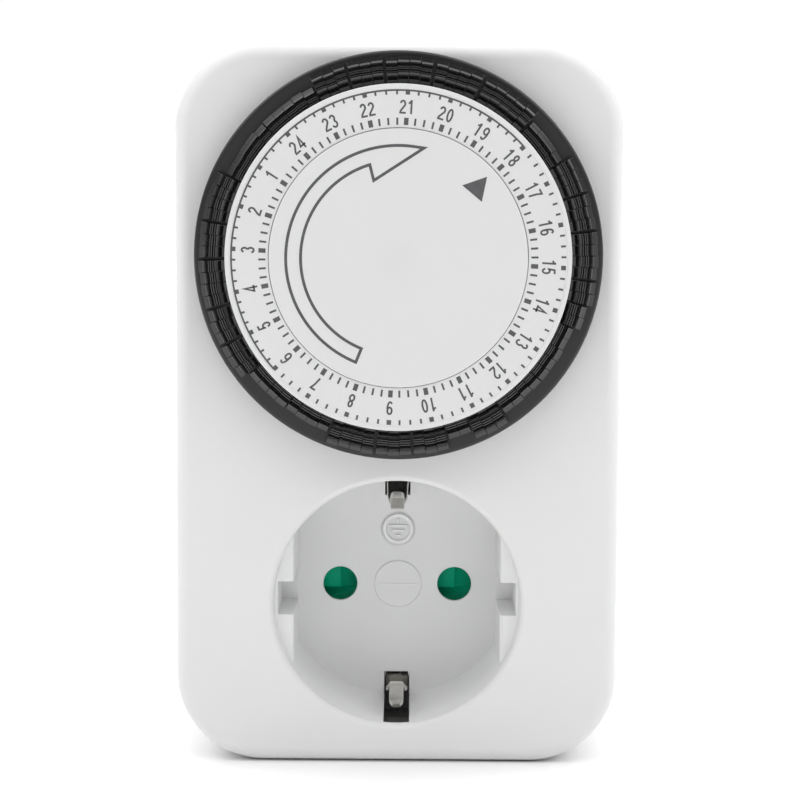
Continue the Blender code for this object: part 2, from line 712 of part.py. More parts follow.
def dial_drum():
    profile = [
        (24.5, DRUM_FLOOR), (DRUM_RADIUS - 0.4, DRUM_FLOOR), (DRUM_RADIUS, DRUM_FLOOR - 0.4),
        (DRUM_RADIUS, DRUM_SKIRT), (30.8, DRUM_SKIRT), (30.8, 3.8), (24.5, 3.8), (24.5, DRUM_SKIRT),
        (22.6, DRUM_SKIRT), (22.6, 6.2), (5.5, 6.2), (5.5, -0.9), (POST_RADIUS + GAP, -0.9),
        (POST_RADIUS + GAP, 8.0), (5.5, 8.0), (5.5, 7.6), (22.6, 7.6), (22.6, 8.1), (24.5, 8.1),
    ]
    drum = turned("dial_drum", profile, DIAL, BLACK)
    teeth = gear_outline(RING_GEAR, DIAL, 0.0, inner=True)
    join(drum, plate("ring_gear", [circle(DIAL, 23.5), teeth], (DRUM_SKIRT + 0.2, 5.4), BLACK))
    for i, (_, _, middle, _) in enumerate(banks()):
        slot = block(
            f"foot_slot_{i}", (FOOT_INNER - TAB_TRAVEL - GAP, FOOT_OUTER + GAP),
            (-FOOT_HALF_WIDTH - GAP, FOOT_HALF_WIDTH + GAP), (3.0, 6.0), turn=math.radians(90 - middle),
        )
        cut(drum, slot)


def dial_face():
    profile = [
        (FACE_RING_INNER, FACE_RING_TOP), (FACE_RING_OUTER - 0.3, FACE_RING_TOP),
        (FACE_RING_OUTER, FACE_RING_TOP - 0.3), (FACE_RING_OUTER, 8.4), (FACE_RING_INNER, 8.4),
    ]
    turned("dial_face", profile, DIAL)


def centre_disc():
    low = FACE_RING_TOP + GAP
    profile = [
        (0, DISC_TOP), (DISC_RADIUS - 0.3, DISC_TOP), (DISC_RADIUS, DISC_TOP - 0.3), (DISC_RADIUS, low),
        (0, low),
    ]
    turned("centre_disc", profile, DIAL, closed=False)


def centre_post():
    low = PLATE_BACK
    profile = [
        (0, 9.6), (POST_RADIUS, 9.6), (POST_RADIUS, -1.3), (6.0, -1.3), (6.0, PLATE_FRONT + GAP),
        (POST_RADIUS, PLATE_FRONT + GAP), (POST_RADIUS, low), (0, low),
    ]
    turned("centre_post", profile, DIAL, NATURAL, steps=24, closed=False)


def banks():
    """(how far in, number of tabs, middle angle, half angle) of each bank, clockwise from the top."""
    found = []
    angle = FIRST_TAB
    for inset, counts in TAB_RUNS:
        for count in counts:
            half = count * TAB_PITCH / 2
            found.append((inset, count, angle + half, half))
            angle += 2 * half
    return found


def tab_banks():
    profile = [
        (TAB_INNER, 5.5), (TAB_OUTER, 5.5), (30.3, 7.3), (28.7, 7.3), (27.3, 8.0), (TAB_INNER, 8.0),
    ]
    for i, (inset, count, middle, half) in enumerate(banks(), 1):
        clearance = TAB_TRAVEL * math.sin(math.radians(half)) + BANK_CLEARANCE
        spare = math.degrees(clearance / (TAB_INNER - TAB_TRAVEL))
        facing = math.radians(90 - middle)
        name = f"tab_bank_{i:02d}"
        bank = turned(
            name, profile[::-1], DIAL, BLACK, steps=count, arc=2 * (half - spare),
            start=90 - middle - half + spare,
        )
        foot = block(
            name + "_foot", (FOOT_INNER, FOOT_OUTER), (-FOOT_HALF_WIDTH, FOOT_HALF_WIDTH), (1.6, 6.0),
            turn=facing,
        )
        join(bank, foot)
        inward = Vector((-inset * math.cos(facing) * MM, 0, -inset * math.sin(facing) * MM))
        bank.location += inward
        foot.location += inward


# Mechanism


def mechanism_plate():
    edge = flatted_circle(DIAL, 31.5, 30.6, math.radians(90), 18)
    holes = [
        circle(DIAL, POST_RADIUS + GAP, 24),
        circle(FIRST_ARBOR, 2.6, 16),
        circle(beside(NOSE, math.radians(135), 0.7), 2.0, 16),
    ]
    made = plate("mechanism_plate", [edge, *holes], (PLATE_BACK, PLATE_FRONT), NATURAL)
    for i, place in enumerate(PLATE_PILLARS):
        join(made, rod(f"plate_pillar_{i}", place, 1.8, (-28.7, PLATE_BACK + 1), NATURAL, steps=12))
    join(made, rod("lever_stub", LEVER_PIVOT, 1.2, (-7.2, PLATE_BACK + 1), NATURAL, steps=12))


def gear_bridge():
    holes = [circle(place, ARBOR_BORE, 12) for place in (FIRST_ARBOR, MIDDLE_ARBOR)]
    holes.append(circle(MOTOR, 1.4, 16))
    edge = rounded_rectangle((-20.0, 26.0), (43.0, 76.0), 4.0, 3)
    bridge = plate("gear_bridge", [edge, *holes], (BRIDGE_BACK, BRIDGE_FRONT), STEEL)
    for i, place in enumerate(BRIDGE_POSTS):
        post = (BRIDGE_BACK + 0.5, PLATE_BACK - GAP)
        join(bridge, rod(f"bridge_post_{i}", place, 1.5, post, STEEL, steps=12))


def wheels():
    """The two compound wheels, their fixed arbors and the motor's pinion, in mesh at rest."""
    first_turn = meshed_turn(RING_GEAR, 0.0, DRUM_PINION, TO_FIRST_ARBOR, inner=True)
    first = plate(
        "drum_pinion_wheel",
        [gear_outline(DRUM_PINION, FIRST_ARBOR, first_turn), circle(FIRST_ARBOR, ARBOR_BORE, 12)],
        (1.2, 5.0), NATURAL, origin=(*FIRST_ARBOR, 0),
    )
    join(
        first,
        plate("first_hub", [circle(FIRST_ARBOR, 2.2, 16), circle(FIRST_ARBOR, ARBOR_BORE, 12)], (-6.0, 1.6)),
        plate(
            "first_wheel",
            [gear_outline(FIRST_WHEEL, FIRST_ARBOR, 0.0), circle(FIRST_ARBOR, ARBOR_BORE, 12)], (-6.8, -5.0),
        ),
    )
    middle_turn = meshed_turn(FIRST_WHEEL, 0.0, MIDDLE_PINION, TO_MIDDLE_ARBOR)
    middle = plate(
        "middle_wheel",
        [gear_outline(MIDDLE_PINION, MIDDLE_ARBOR, middle_turn), circle(MIDDLE_ARBOR, ARBOR_BORE, 12)],
        (-7.6, -5.0), NATURAL, origin=(*MIDDLE_ARBOR, -7),
    )
    join(
        middle,
        plate(
            "middle_rim",
            [gear_outline(MIDDLE_WHEEL, MIDDLE_ARBOR, 0.0), circle(MIDDLE_ARBOR, ARBOR_BORE, 12)],
            (-8.8, -7.2),
        ),
    )
    motor_turn = meshed_turn(MIDDLE_WHEEL, 0.0, MOTOR_PINION, TO_MOTOR)
    pinion = prism(
        "motor_pinion", gear_outline(MOTOR_PINION, MOTOR, motor_turn), (-8.8, -7.2), STEEL,
        origin=(*MOTOR, -8),
    )
    join(pinion, rod("motor_shaft", MOTOR, 0.9, (-20.0, -8.0), STEEL, steps=12))
    rod("first_arbor", FIRST_ARBOR, ARBOR_RADIUS, (-10.4, 4.6), STEEL, steps=12)
    rod("middle_arbor", MIDDLE_ARBOR, ARBOR_RADIUS, (-10.4, -4.6), STEEL, steps=12)


def motor():
    front = BRIDGE_BACK - GAP
    can = [(0, -22.2), (14.2, -22.2), (14.2, front), (15.0, front), (15.0, -23.0), (0, -23.0)]
    turned("motor_can", can, MOTOR, STEEL, steps=40, closed=False)
    coil = [(13.6, -12.0), (13.6, -21.5), (4.0, -21.5), (4.0, -12.0)]
    turned("motor_coil", coil, MOTOR, COPPER, steps=32)


front_shell()
rear_shell()
housing_screws()
override_slider()
socket_insert()
socket_shutter()
shutter_spring()
earth_strap()
plug_pins()
current_path()
switch()
dial_drum()
dial_face()
centre_disc()
centre_post()
tab_banks()
mechanism_plate()
gear_bridge()
wheels()
motor()
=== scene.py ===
"""Looks of the plug-in 24-hour dial timer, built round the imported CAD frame.

Shapes are drawn in face coordinates, in millimetres: x to the right, y up, and height h above the
front face, negative inside the housing. TO_WORLD takes them into the frame.
"""

import math

import bmesh
import bpy
from mathutils import Matrix, Vector


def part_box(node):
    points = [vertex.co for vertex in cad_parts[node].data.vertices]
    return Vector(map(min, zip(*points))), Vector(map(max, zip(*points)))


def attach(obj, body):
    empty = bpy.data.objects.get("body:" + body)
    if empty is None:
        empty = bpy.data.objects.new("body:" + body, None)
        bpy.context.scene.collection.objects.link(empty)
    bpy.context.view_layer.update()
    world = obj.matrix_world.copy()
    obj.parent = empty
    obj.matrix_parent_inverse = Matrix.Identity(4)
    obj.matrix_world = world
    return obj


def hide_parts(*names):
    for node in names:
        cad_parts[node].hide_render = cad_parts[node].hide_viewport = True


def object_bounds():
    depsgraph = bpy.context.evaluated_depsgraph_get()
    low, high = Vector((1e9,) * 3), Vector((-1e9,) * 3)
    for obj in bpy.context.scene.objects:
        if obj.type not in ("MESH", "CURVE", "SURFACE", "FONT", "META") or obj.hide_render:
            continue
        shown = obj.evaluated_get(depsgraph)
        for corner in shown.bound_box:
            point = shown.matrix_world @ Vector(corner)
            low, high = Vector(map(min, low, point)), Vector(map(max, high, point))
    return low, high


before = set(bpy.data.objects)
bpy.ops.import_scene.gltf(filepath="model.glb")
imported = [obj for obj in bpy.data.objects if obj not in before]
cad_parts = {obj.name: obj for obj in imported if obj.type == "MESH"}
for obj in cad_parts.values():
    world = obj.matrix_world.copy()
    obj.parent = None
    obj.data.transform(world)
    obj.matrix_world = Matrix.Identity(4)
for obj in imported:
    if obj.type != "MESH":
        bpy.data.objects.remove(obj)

CAD_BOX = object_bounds()
MM = 0.001
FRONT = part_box("front_shell")[0].y
TO_WORLD = Matrix.Translation((0, FRONT, 0)) @ Matrix.Rotation(math.radians(90), 4, "X") @ Matrix.Scale(MM, 4)


def face_box(node):
    """(lowest, highest) corner of a CAD node in face coordinates."""
    low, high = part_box(node)
    return (
        Vector((low.x / MM, low.z / MM, (FRONT - high.y) / MM)),
        Vector((high.x / MM, high.z / MM, (FRONT - low.y) / MM)),
    )


# Sizes that the frame gives
SHELL_LOW, SHELL_HIGH = face_box("front_shell")
REAR_LOW, REAR_HIGH = face_box("rear_shell")
DRUM_LOW, DRUM_HIGH = face_box("dial_drum")
RING_LOW, RING_HIGH = face_box("dial_face")
SHUTTER_LOW, SHUTTER_HIGH = face_box("socket_shutter")

HALF_WIDTH = SHELL_HIGH.x
BOTTOM, TOP = SHELL_LOW.y, SHELL_HIGH.y
SHELL_DEPTH = 22.0
REAR_FRONT = REAR_HIGH.z
BACK = -32.0
PLUG_FACE = REAR_LOW.z
WELL_BACK = face_box("socket_insert")[0].z
DIAL = (0.0, (DRUM_LOW.y + DRUM_HIGH.y) / 2)
DRUM_RADIUS = DRUM_HIGH.x
RING_RADIUS = RING_HIGH.x
RING_TOP = RING_HIGH.z
DISC_RADIUS = face_box("centre_disc")[1].x
POST_TOP = face_box("centre_post")[1].z
DISC_FACE = POST_TOP + 0.14
DISC_BED = RING_LOW.z + 0.2
RING_BORE = 18.5

# Housing
CORNER_RADIUS = 14.0
WALL = 2.0
FRONT_FILLET = 2.2
REAR_FILLET = 2.5
SEAM_CHAMFER = 0.3
DIAL_OPENING = 30.2
PILLARS = [(side * 27.0, y) for y in (-17.5, 80.5) for side in (-1, 1)]
PILLAR_FOOT = -28.7
PILOT_END = -14.0
SCREW_BORE = 1.7
POCKET_DEPTH = 1.0
POCKET_YS, POCKET_HEIGHTS = (34.9, 45.1), (-13.8, -7.6)
SLOT_YS, SLOT_HEIGHTS = (36.3, 43.7), (-12.1, -9.3)
BOSS_RADIUS, BOSS_FLAT = 18.4, 16.4
BOSS_ROOT, BOSS_TIP = 0.9, 0.8
PANEL_XS, PANEL_YS = (-20.0, 20.0), (27.0, 67.0)

# Socket
MOUTH_RADIUS = 19.75
MOUTH_FILLET = 1.0
RIM_SEAT = 20.6
RIM_LEVEL = -1.1
FLOOR = -17.5
FLOOR_RADIUS = 18.9
RIB_FRONT = -2.6
RIB_FLAT_FRONT = 16.75
RIB_FLAT_FLOOR = 16.35
NOTCH_YS = (-2.4, 3.0)
NOTCH_X = 19.2
NOTCH_DEPTH = -16.4
PIN_HOLE = 2.8
PIN_X = 9.5
PIN_RADIUS = 2.4
SHUTTER_TRAVEL = 6.2
EARTH_HALF = 2.1
EARTH_START = 14.9
SIGN, SIGN_RADIUS, SIGN_STROKE = (0.1, 9.3), 2.5, 0.19
PLATE, PLATE_RADIUS = (0.1, 0.0), 3.95

# Dial
GEAR_TEETH = 60
TAB_PITCH = 3.75
FIRST_TAB = -27.0
TAB_TRAVEL = 1.5
TOE_IN, TOE_OUT = 6.72, 7.02
TAB_RUNS = (
    (0.0, (3, 3, 4, 4, 5)),
    (TAB_TRAVEL, (4,)),
    (0.0, (3, 3, 4, 2)),
    (0.6, (2,)),
    (TAB_TRAVEL, (5, 4)),
    (0.0, (3,)),
    (TAB_TRAVEL, (2,)),
    (0.0, (3, 3, 4)),
    (TAB_TRAVEL, (4, 4)),
    (0.0, (3, 3, 4, 3, 4)),
    (TAB_TRAVEL, (5, 5)),
)
PRINT_TOP = 0.012
SHARP = 32.0


# Materials


def shader_material(name):
    made = bpy.data.materials.new(name)
    made.use_nodes = True
    return made, made.node_tree, made.node_tree.nodes["Principled BSDF"]


def noise(tree, scale, detail=3.0, stretch=(1, 1, 1)):
    """A noise factor on the piece's own place, whose features are about 1/scale metres across."""
    place = tree.nodes.new("ShaderNodeTexCoord")
    mapping = tree.nodes.new("ShaderNodeMapping")
    mapping.inputs["Scale"].default_value = stretch
    texture = tree.nodes.new("ShaderNodeTexNoise")
    texture.inputs["Scale"].default_value = scale
    texture.inputs["Detail"].default_value = detail
    tree.links.new(place.outputs["Object"], mapping.inputs["Vector"])
    tree.links.new(mapping.outputs["Vector"], texture.inputs["Vector"])
    return texture.outputs["Fac"]


def spread(tree, factor, low, high):
    """The factor's middle range taken to the range from low to high."""
    made = tree.nodes.new("ShaderNodeMapRange")
    made.inputs["From Min"].default_value = 0.3
    made.inputs["From Max"].default_value = 0.7
    made.inputs["To Min"].default_value = low
    made.inputs["To Max"].default_value = high
    tree.links.new(factor, made.inputs["Value"])
    return made.outputs["Result"]


def finish(
    name, colour, roughness, grain=4000.0, relief=0.004, tint=0.03, blotch=60.0,
    metallic=0.0, stretch=(1, 1, 1), specular=0.5, subsurface=0.0, uneven=0.05,
):
    """A moulded or metal surface: fine grain in relief, and slow changes of tone and gloss."""
    made, tree, shader = shader_material(name)
    shader.inputs["Metallic"].default_value = metallic
    shader.inputs["Specular IOR Level"].default_value = specular
    if subsurface:
        shader.inputs["Subsurface Weight"].default_value = subsurface
        shader.inputs["Subsurface Radius"].default_value = (1.0, 0.95, 0.9)
        shader.inputs["Subsurface Scale"].default_value = 0.0008
    ramp = tree.nodes.new("ShaderNodeMix")
    ramp.data_type = "RGBA"
    ramp.inputs["A"].default_value = (*[c * (1 - tint) for c in colour], 1)
    ramp.inputs["B"].default_value = (*[min(c * (1 + tint), 1.0) for c in colour], 1)
    tree.links.new(spread(tree, noise(tree, blotch), 0, 1), ramp.inputs["Factor"])
    tree.links.new(ramp.outputs["Result"], shader.inputs["Base Color"])
    gloss = spread(tree, noise(tree, blotch * 6, 4.0, stretch), roughness - uneven, roughness + uneven)
    tree.links.new(gloss, shader.inputs["Roughness"])
    bump = tree.nodes.new("ShaderNodeBump")
    bump.inputs["Strength"].default_value = 1.0
    bump.inputs["Distance"].default_value = relief * MM
    tree.links.new(noise(tree, grain, 2.0, stretch), bump.inputs["Height"])
    tree.links.new(bump.outputs["Normal"], shader.inputs["Normal"])
    return made


WHITE = finish(
    "housing_white", (0.735, 0.737, 0.735), 0.42, grain=5200, relief=0.0035, tint=0.008, subsurface=0.12
)
# The socket well's white plastic, made lighter than the housing white as painted fill light against the shade
# inside the recess.
WELL_PAINTED_FILL = finish(
    "well_white_painted_fill", (0.795, 0.798, 0.798), 0.46, grain=5200, relief=0.003, tint=0.01, subsurface=0.1
)
FACE_WHITE = finish(
    "dial_white", (0.685, 0.687, 0.685), 0.38, grain=7000, relief=0.002, tint=0.006, subsurface=0.08
)
# The well's plastic made lighter for the tops of the earth sign, its bars and the disc bar: a painted
# highlight on the low relief.
MARKS_PAINTED_HIGHLIGHT = finish(
    "well_marks_painted_highlight", (0.88, 0.882, 0.882), 0.4, grain=5200, relief=0.002, tint=0.01, subsurface=0.1
)
INK = finish("dial_ink", (0.082, 0.082, 0.086), 0.55, grain=9000, relief=0.002, tint=0.12, blotch=900)
BLACK = finish(
    "drum_black", (0.009, 0.009, 0.010), 0.34, grain=1200, relief=0.0004, tint=0.1, blotch=90, uneven=0.01
)
TAB_BLACK = finish(
    "tab_black", (0.004, 0.004, 0.0045), 0.2, grain=1200, relief=0.0002, tint=0.1, blotch=90,
    specular=0.8, uneven=0.01,
)
GREEN = finish(
    "shutter_green", (0.0, 0.35, 0.19), 0.5, grain=4500, relief=0.003, tint=0.06, blotch=300, specular=0.12
)
NATURAL = finish(
    "natural_nylon", (0.70, 0.67, 0.58), 0.45, grain=3000, relief=0.006, tint=0.04, subsurface=0.2
)
NICKEL = finish(
    "nickel_plate", (0.70, 0.69, 0.66), 0.24, grain=2500, relief=0.002, tint=0.05, metallic=1.0,
    stretch=(1, 0.08, 1),
)
BRASS = finish(
    "brass_strip", (0.72, 0.54, 0.26), 0.30, grain=2500, relief=0.003, tint=0.08, metallic=1.0
)
STEEL = finish("zinc_steel", (0.56, 0.57, 0.58), 0.36, grain=2500, relief=0.004, tint=0.08, metallic=1.0)
COPPER = finish(
    "enamelled_wire", (0.55, 0.22, 0.09), 0.35, grain=2600, relief=0.05, tint=0.1, metallic=1.0,
    stretch=(0.1, 1, 0.1),
)

CARRIED = {
    "shutter_spring": STEEL, "centre_post": NATURAL, "line_contact": BRASS, "neutral_contact": BRASS,
    "line_busbar": BRASS, "switch_blade": BRASS, "switch_lever": NATURAL, "mechanism_plate": NATURAL,
    "gear_bridge": STEEL, "drum_pinion_wheel": NATURAL, "middle_wheel": NATURAL, "motor_pinion": STEEL,
    "first_arbor": STEEL, "middle_arbor": STEEL, "motor_can": STEEL, "motor_coil": COPPER,
}


# Shapes


def make(name, bm, look, body=None, slot=None, replaces=(), sharp=SHARP):
    """The object of a bmesh drawn in face coordinates, riding on a body."""
    bmesh.ops.remove_doubles(bm, verts=bm.verts, dist=1e-5)
    bmesh.ops.recalc_face_normals(bm, faces=bm.faces)
    bmesh.ops.transform(bm, matrix=TO_WORLD, verts=bm.verts)
    mesh = bpy.data.meshes.new(name)
    bm.to_mesh(mesh)
    bm.free()
    mesh.materials.append(look)
    obj = bpy.data.objects.new(name, mesh)
    bpy.context.scene.collection.objects.link(obj)
    shade(obj, sharp)
    if body:
        settle(obj, body, replaces)
    return obj


def shade(obj, sharp):
    obj.data.shade_smooth()
    obj.data.set_sharp_from_angle(angle=math.radians(sharp))


def settle(obj, body, replaces):
    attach(obj, body)
    if replaces:
        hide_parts(*replaces)


def bake(obj):
    """The object with its modifiers applied."""
    graph = bpy.context.evaluated_depsgraph_get()
    graph.update()
    solid = bpy.data.meshes.new_from_object(obj.evaluated_get(graph))
    obj.modifiers.clear()
    obj.data = solid


def combine(obj, operation, others):
    """Joins or cuts the object with the others, which are used up."""
    for other in others:
        modifier = obj.modifiers.new("combine", "BOOLEAN")
        modifier.operation = operation
        modifier.solver = "EXACT"
        modifier.object = other
    bpy.context.view_layer.update()
    bake(obj)
    for other in others:
        bpy.data.objects.remove(other)
    weld(obj)
    shade(obj, SHARP)
    return obj


def weld(obj):
    """Closes the hairline cracks that a cut leaves where two of its edges nearly meet."""
    bm = bmesh.new()
    bm.from_mesh(obj.data)
    bmesh.ops.remove_doubles(bm, verts=bm.verts, dist=0.004 * MM)
    bmesh.ops.dissolve_degenerate(bm, edges=bm.edges, dist=0.002 * MM)
    bm.to_mesh(obj.data)
    bm.free()


def bevel(obj, width, segments):
    modifier = obj.modifiers.new("bevel", "BEVEL")
    modifier.limit_method = "ANGLE"
    modifier.angle_limit = math.radians(40.0)
    modifier.width = width * MM
    modifier.segments = segments
    bpy.context.view_layer.update()
    bake(obj)
    shade(obj, 50.0)
    return obj


def rounded(points, closed=True, steps=5, guard=0.04):
    """A path of (a, b, radius) points with those corners rounded, and a guard point beside each
    rounding, which keeps the flats' shading flat."""
    made = []
    count = len(points)
    for i, (a, b, radius) in enumerate(points):
        here = Vector((a, b))
        if not radius or (not closed and i in (0, count - 1)):
            made.append(here)
            continue
        before = Vector(points[i - 1][:2]) - here
        after = Vector(points[(i + 1) % count][:2]) - here
        half = before.angle(after) / 2
        reach = radius / math.tan(half)
        middle = here + (before.normalized() + after.normalized()).normalized() * radius / math.sin(half)
        start = here + before.normalized() * reach
        end = here + after.normalized() * reach
        if before.length > reach + 3 * guard:
            made.append(start + before.normalized() * guard)
        turn = (start - middle).angle_signed(end - middle)
        for k in range(steps + 1):
            offset = (start - middle).copy()
            offset.rotate(Matrix.Rotation(-turn * k / steps, 2))
            made.append(middle + offset)
        if after.length > reach + 3 * guard:
            made.append(end + after.normalized() * guard)
    return [tuple(point) for point in made]


def loft(bm, rings, closed_path=False):
    """Quads between rings of points of one length. Returns the rings of vertices."""
    made = [[bm.verts.new(point) for point in ring] for ring in rings]
    pairs = list(zip(made, made[1:]))
    if closed_path:
        pairs.append((made[-1], made[0]))
    for low, high in pairs:
        count = len(low)
        for i in range(count):
            j = (i + 1) % count
            bm.faces.new((low[i], low[j], high[j], high[i]))
    return made


def fill(bm, *loops):
    """A flat face, as triangles, inside the first loop and outside the others."""
    edges = []
    for loop in loops:
        for a, b in zip(loop, loop[1:] + loop[:1]):
            edges.append(bm.edges.get((a, b)) or bm.edges.new((a, b)))
    bmesh.ops.triangle_fill(bm, use_beauty=True, edges=edges)


def circle(centre, radius, steps, height=None):
    angles = [2 * math.pi * i / steps for i in range(steps)]
    points = [(centre[0] + radius * math.cos(a), centre[1] + radius * math.sin(a)) for a in angles]
    return points if height is None else [(x, y, height) for x, y in points]


def at_height(points, height):
    return [(x, y, height) for x, y in points]


def revolve(bm, profile, centre, steps, closed=True):
    """A profile of (radius, height) points turned about the centre. A radius of 0 is on the axis."""
    rings = []
    for radius, height in profile:
        if radius < 1e-6:
            rings.append(None)
            continue
        rings.append([bm.verts.new(point) for point in circle(centre, radius, steps, height)])
    pairs = [(i, i + 1) for i in range(len(profile) - 1)]
    if closed:
        pairs.append((len(profile) - 1, 0))
    for a, b in pairs:
        if rings[a] is None and rings[b] is None:
            continue
        if rings[a] is None or rings[b] is None:
            ring, tip = (rings[b], profile[a]) if rings[a] is None else (rings[a], profile[b])
            top = bm.verts.new((*centre, tip[1]))
            for i in range(steps):
                bm.faces.new((ring[i], ring[(i + 1) % steps], top))
            continue
        for i in range(steps):
            j = (i + 1) % steps
            bm.faces.new((rings[a][i], rings[a][j], rings[b][j], rings[b][i]))


def turned(name, profile, centre, steps, look, closed=True, **rest):
    bm = bmesh.new()
    revolve(bm, profile, centre, steps, closed)
    return make(name, bm, look, **rest)


def slab(bm, outline, low, high):
    """A prism of an outline of (x, y) points, between two heights."""
    base = [bm.verts.new((x, y, low)) for x, y in outline]
    top = [bm.verts.new((x, y, high)) for x, y in outline]
    bm.faces.new(base[::-1])
    bm.faces.new(top)
    count = len(outline)
    for i in range(count):
        j = (i + 1) % count
        bm.faces.new((base[i], base[j], top[j], top[i]))


def prism(name, outline, low, high, look, **rest):
    bm = bmesh.new()
    slab(bm, outline, low, high)
    return make(name, bm, look, **rest)


def oblong(xs, ys, radius=0.0):
    corners = [(xs[1], ys[1], radius), (xs[0], ys[1], radius), (xs[0], ys[0], radius), (xs[1], ys[0], radius)]
    return rounded(corners, steps=6)


def box(name, xs, ys, hs, look, radius=0.0, **rest):
    return prism(name, oblong(sorted(xs), sorted(ys), radius), min(hs), max(hs), look, **rest)


def soft_box(name, xs, ys, hs, look, radius, segments, **rest):
    """A block with all its edges rounded."""
    bm = bmesh.new()
    size = [abs(pair[1] - pair[0]) for pair in (xs, ys, hs)]
    middle = [(pair[0] + pair[1]) / 2 for pair in (xs, ys, hs)]
    bmesh.ops.create_cube(bm, size=1.0, matrix=Matrix.Translation(middle) @ Matrix.Diagonal((*size, 1)))
    bmesh.ops.bevel(bm, geom=bm.edges[:], offset=radius, segments=segments, profile=0.5, affect="EDGES")
    return make(name, bm, look, **rest)


def polar(angle, radius):
    """A point of the dial, its angle in degrees clockwise from the top."""
    turn = math.radians(90 - angle)
    return (DIAL[0] + radius * math.cos(turn), DIAL[1] + radius * math.sin(turn))


# Housing


def shell_outline(inset, height):
    """The rounded rectangle of the housing, set in from its edge."""
    steps, guard = 18, 0.06
    radius = CORNER_RADIUS - inset
    x = HALF_WIDTH - inset - radius
    top, bottom = TOP - inset - radius, BOTTOM + inset + radius
    points = []
    for quarter, (cx, cy) in enumerate(((x, top), (-x, top), (-x, bottom), (x, bottom))):
        for i in range(-1, steps + 2):
            k = min(max(i, 0), steps)
            angle = math.radians(90 * (quarter + k / steps))
            beyond = guard * (k - i)
            along = angle - math.pi / 2 if i < 0 else angle + math.pi / 2
            shift = abs(beyond)
            points.append((
                cx + radius * math.cos(angle) + shift * math.cos(along),
                cy + radius * math.sin(angle) + shift * math.sin(along),
                height,
            ))
    return points


def edge_rounding(inset, height, radius, direction):
    """(inset, height) pairs that turn from the side wall into a flat face."""
    steps, guard = 9, 0.05
    pairs = [(inset, height - direction * (radius + guard))]
    for i in range(steps + 1):
        angle = math.pi / 2 * i / steps
        pairs.append((
            inset + radius * (1 - math.cos(angle)),
            height - direction * radius * (1 - math.sin(angle)),
        ))
    pairs.append((inset + radius + guard, height))
    return pairs


def opening(bm, centre, profile, steps):
    """The wall of a round opening. Returns its first and its last ring."""
    rings = loft(bm, [circle(centre, radius, steps, height) for radius, height in profile])
    return rings[0], rings[-1]


def front_housing():
    bm = bmesh.new()
    pairs = [
        (WALL, -WALL), (WALL, -SHELL_DEPTH), (SEAM_CHAMFER, -SHELL_DEPTH), (0.0, SEAM_CHAMFER - SHELL_DEPTH),
    ]
    pairs += edge_rounding(0.0, 0.0, FRONT_FILLET, 1)
    rings = loft(bm, [shell_outline(inset, height) for inset, height in pairs])
    dial = rounded(
        [(DIAL_OPENING + 2, 0, 0), (DIAL_OPENING, 0, 0.5), (DIAL_OPENING, -WALL, 0)], closed=False
    )[1:]
    mouth = rounded(
        [(MOUTH_RADIUS + 2, 0, 0), (MOUTH_RADIUS, 0, MOUTH_FILLET), (MOUTH_RADIUS, RIM_LEVEL, 0)],
        closed=False, steps=8, guard=0.02,
    )[1:]
    mouth += [(RIM_SEAT, RIM_LEVEL), (RIM_SEAT, -WALL)]
    dial_outer, dial_inner = opening(bm, DIAL, dial, 160)
    mouth_outer, mouth_inner = opening(bm, (0, 0), mouth, 160)
    fill(bm, rings[-1], dial_outer, mouth_outer)
    fill(bm, rings[0], dial_inner, mouth_inner)
    shell = make("front_housing", bm, WHITE)
    pillars = []
    for place in PILLARS:
        pillars.append(prism("pillar", circle(place, 3.0, 24), PILLAR_FOOT, -WALL / 2, WHITE))
    combine(shell, "UNION", pillars)
    pocket = box("pocket", (HALF_WIDTH - POCKET_DEPTH, HALF_WIDTH + 1), POCKET_YS, POCKET_HEIGHTS, WHITE)
    slot = box("slot", (HALF_WIDTH - WALL - 1, HALF_WIDTH), SLOT_YS, SLOT_HEIGHTS, WHITE)
    pilots = []
    for place in PILLARS:
        pilots.append(prism("pilot", circle(place, SCREW_BORE, 16), PILLAR_FOOT - 1.3, PILOT_END, WHITE))
    combine(shell, "DIFFERENCE", [pocket, slot, *pilots])
    settle(shell, "housing", ["front_shell"])


def boss_outline(grow, height):
    """A circle with a flat on its left and its right."""
    steps = 20
    radius, flat = BOSS_RADIUS + grow, BOSS_FLAT + grow
    first = math.acos(flat / radius)
    points = []
    for facing in (0.0, math.pi):
        for i in range(steps + 1):
            angle = facing + first + (math.pi - 2 * first) * i / steps
            points.append((radius * math.cos(angle), radius * math.sin(angle), height))
    return points


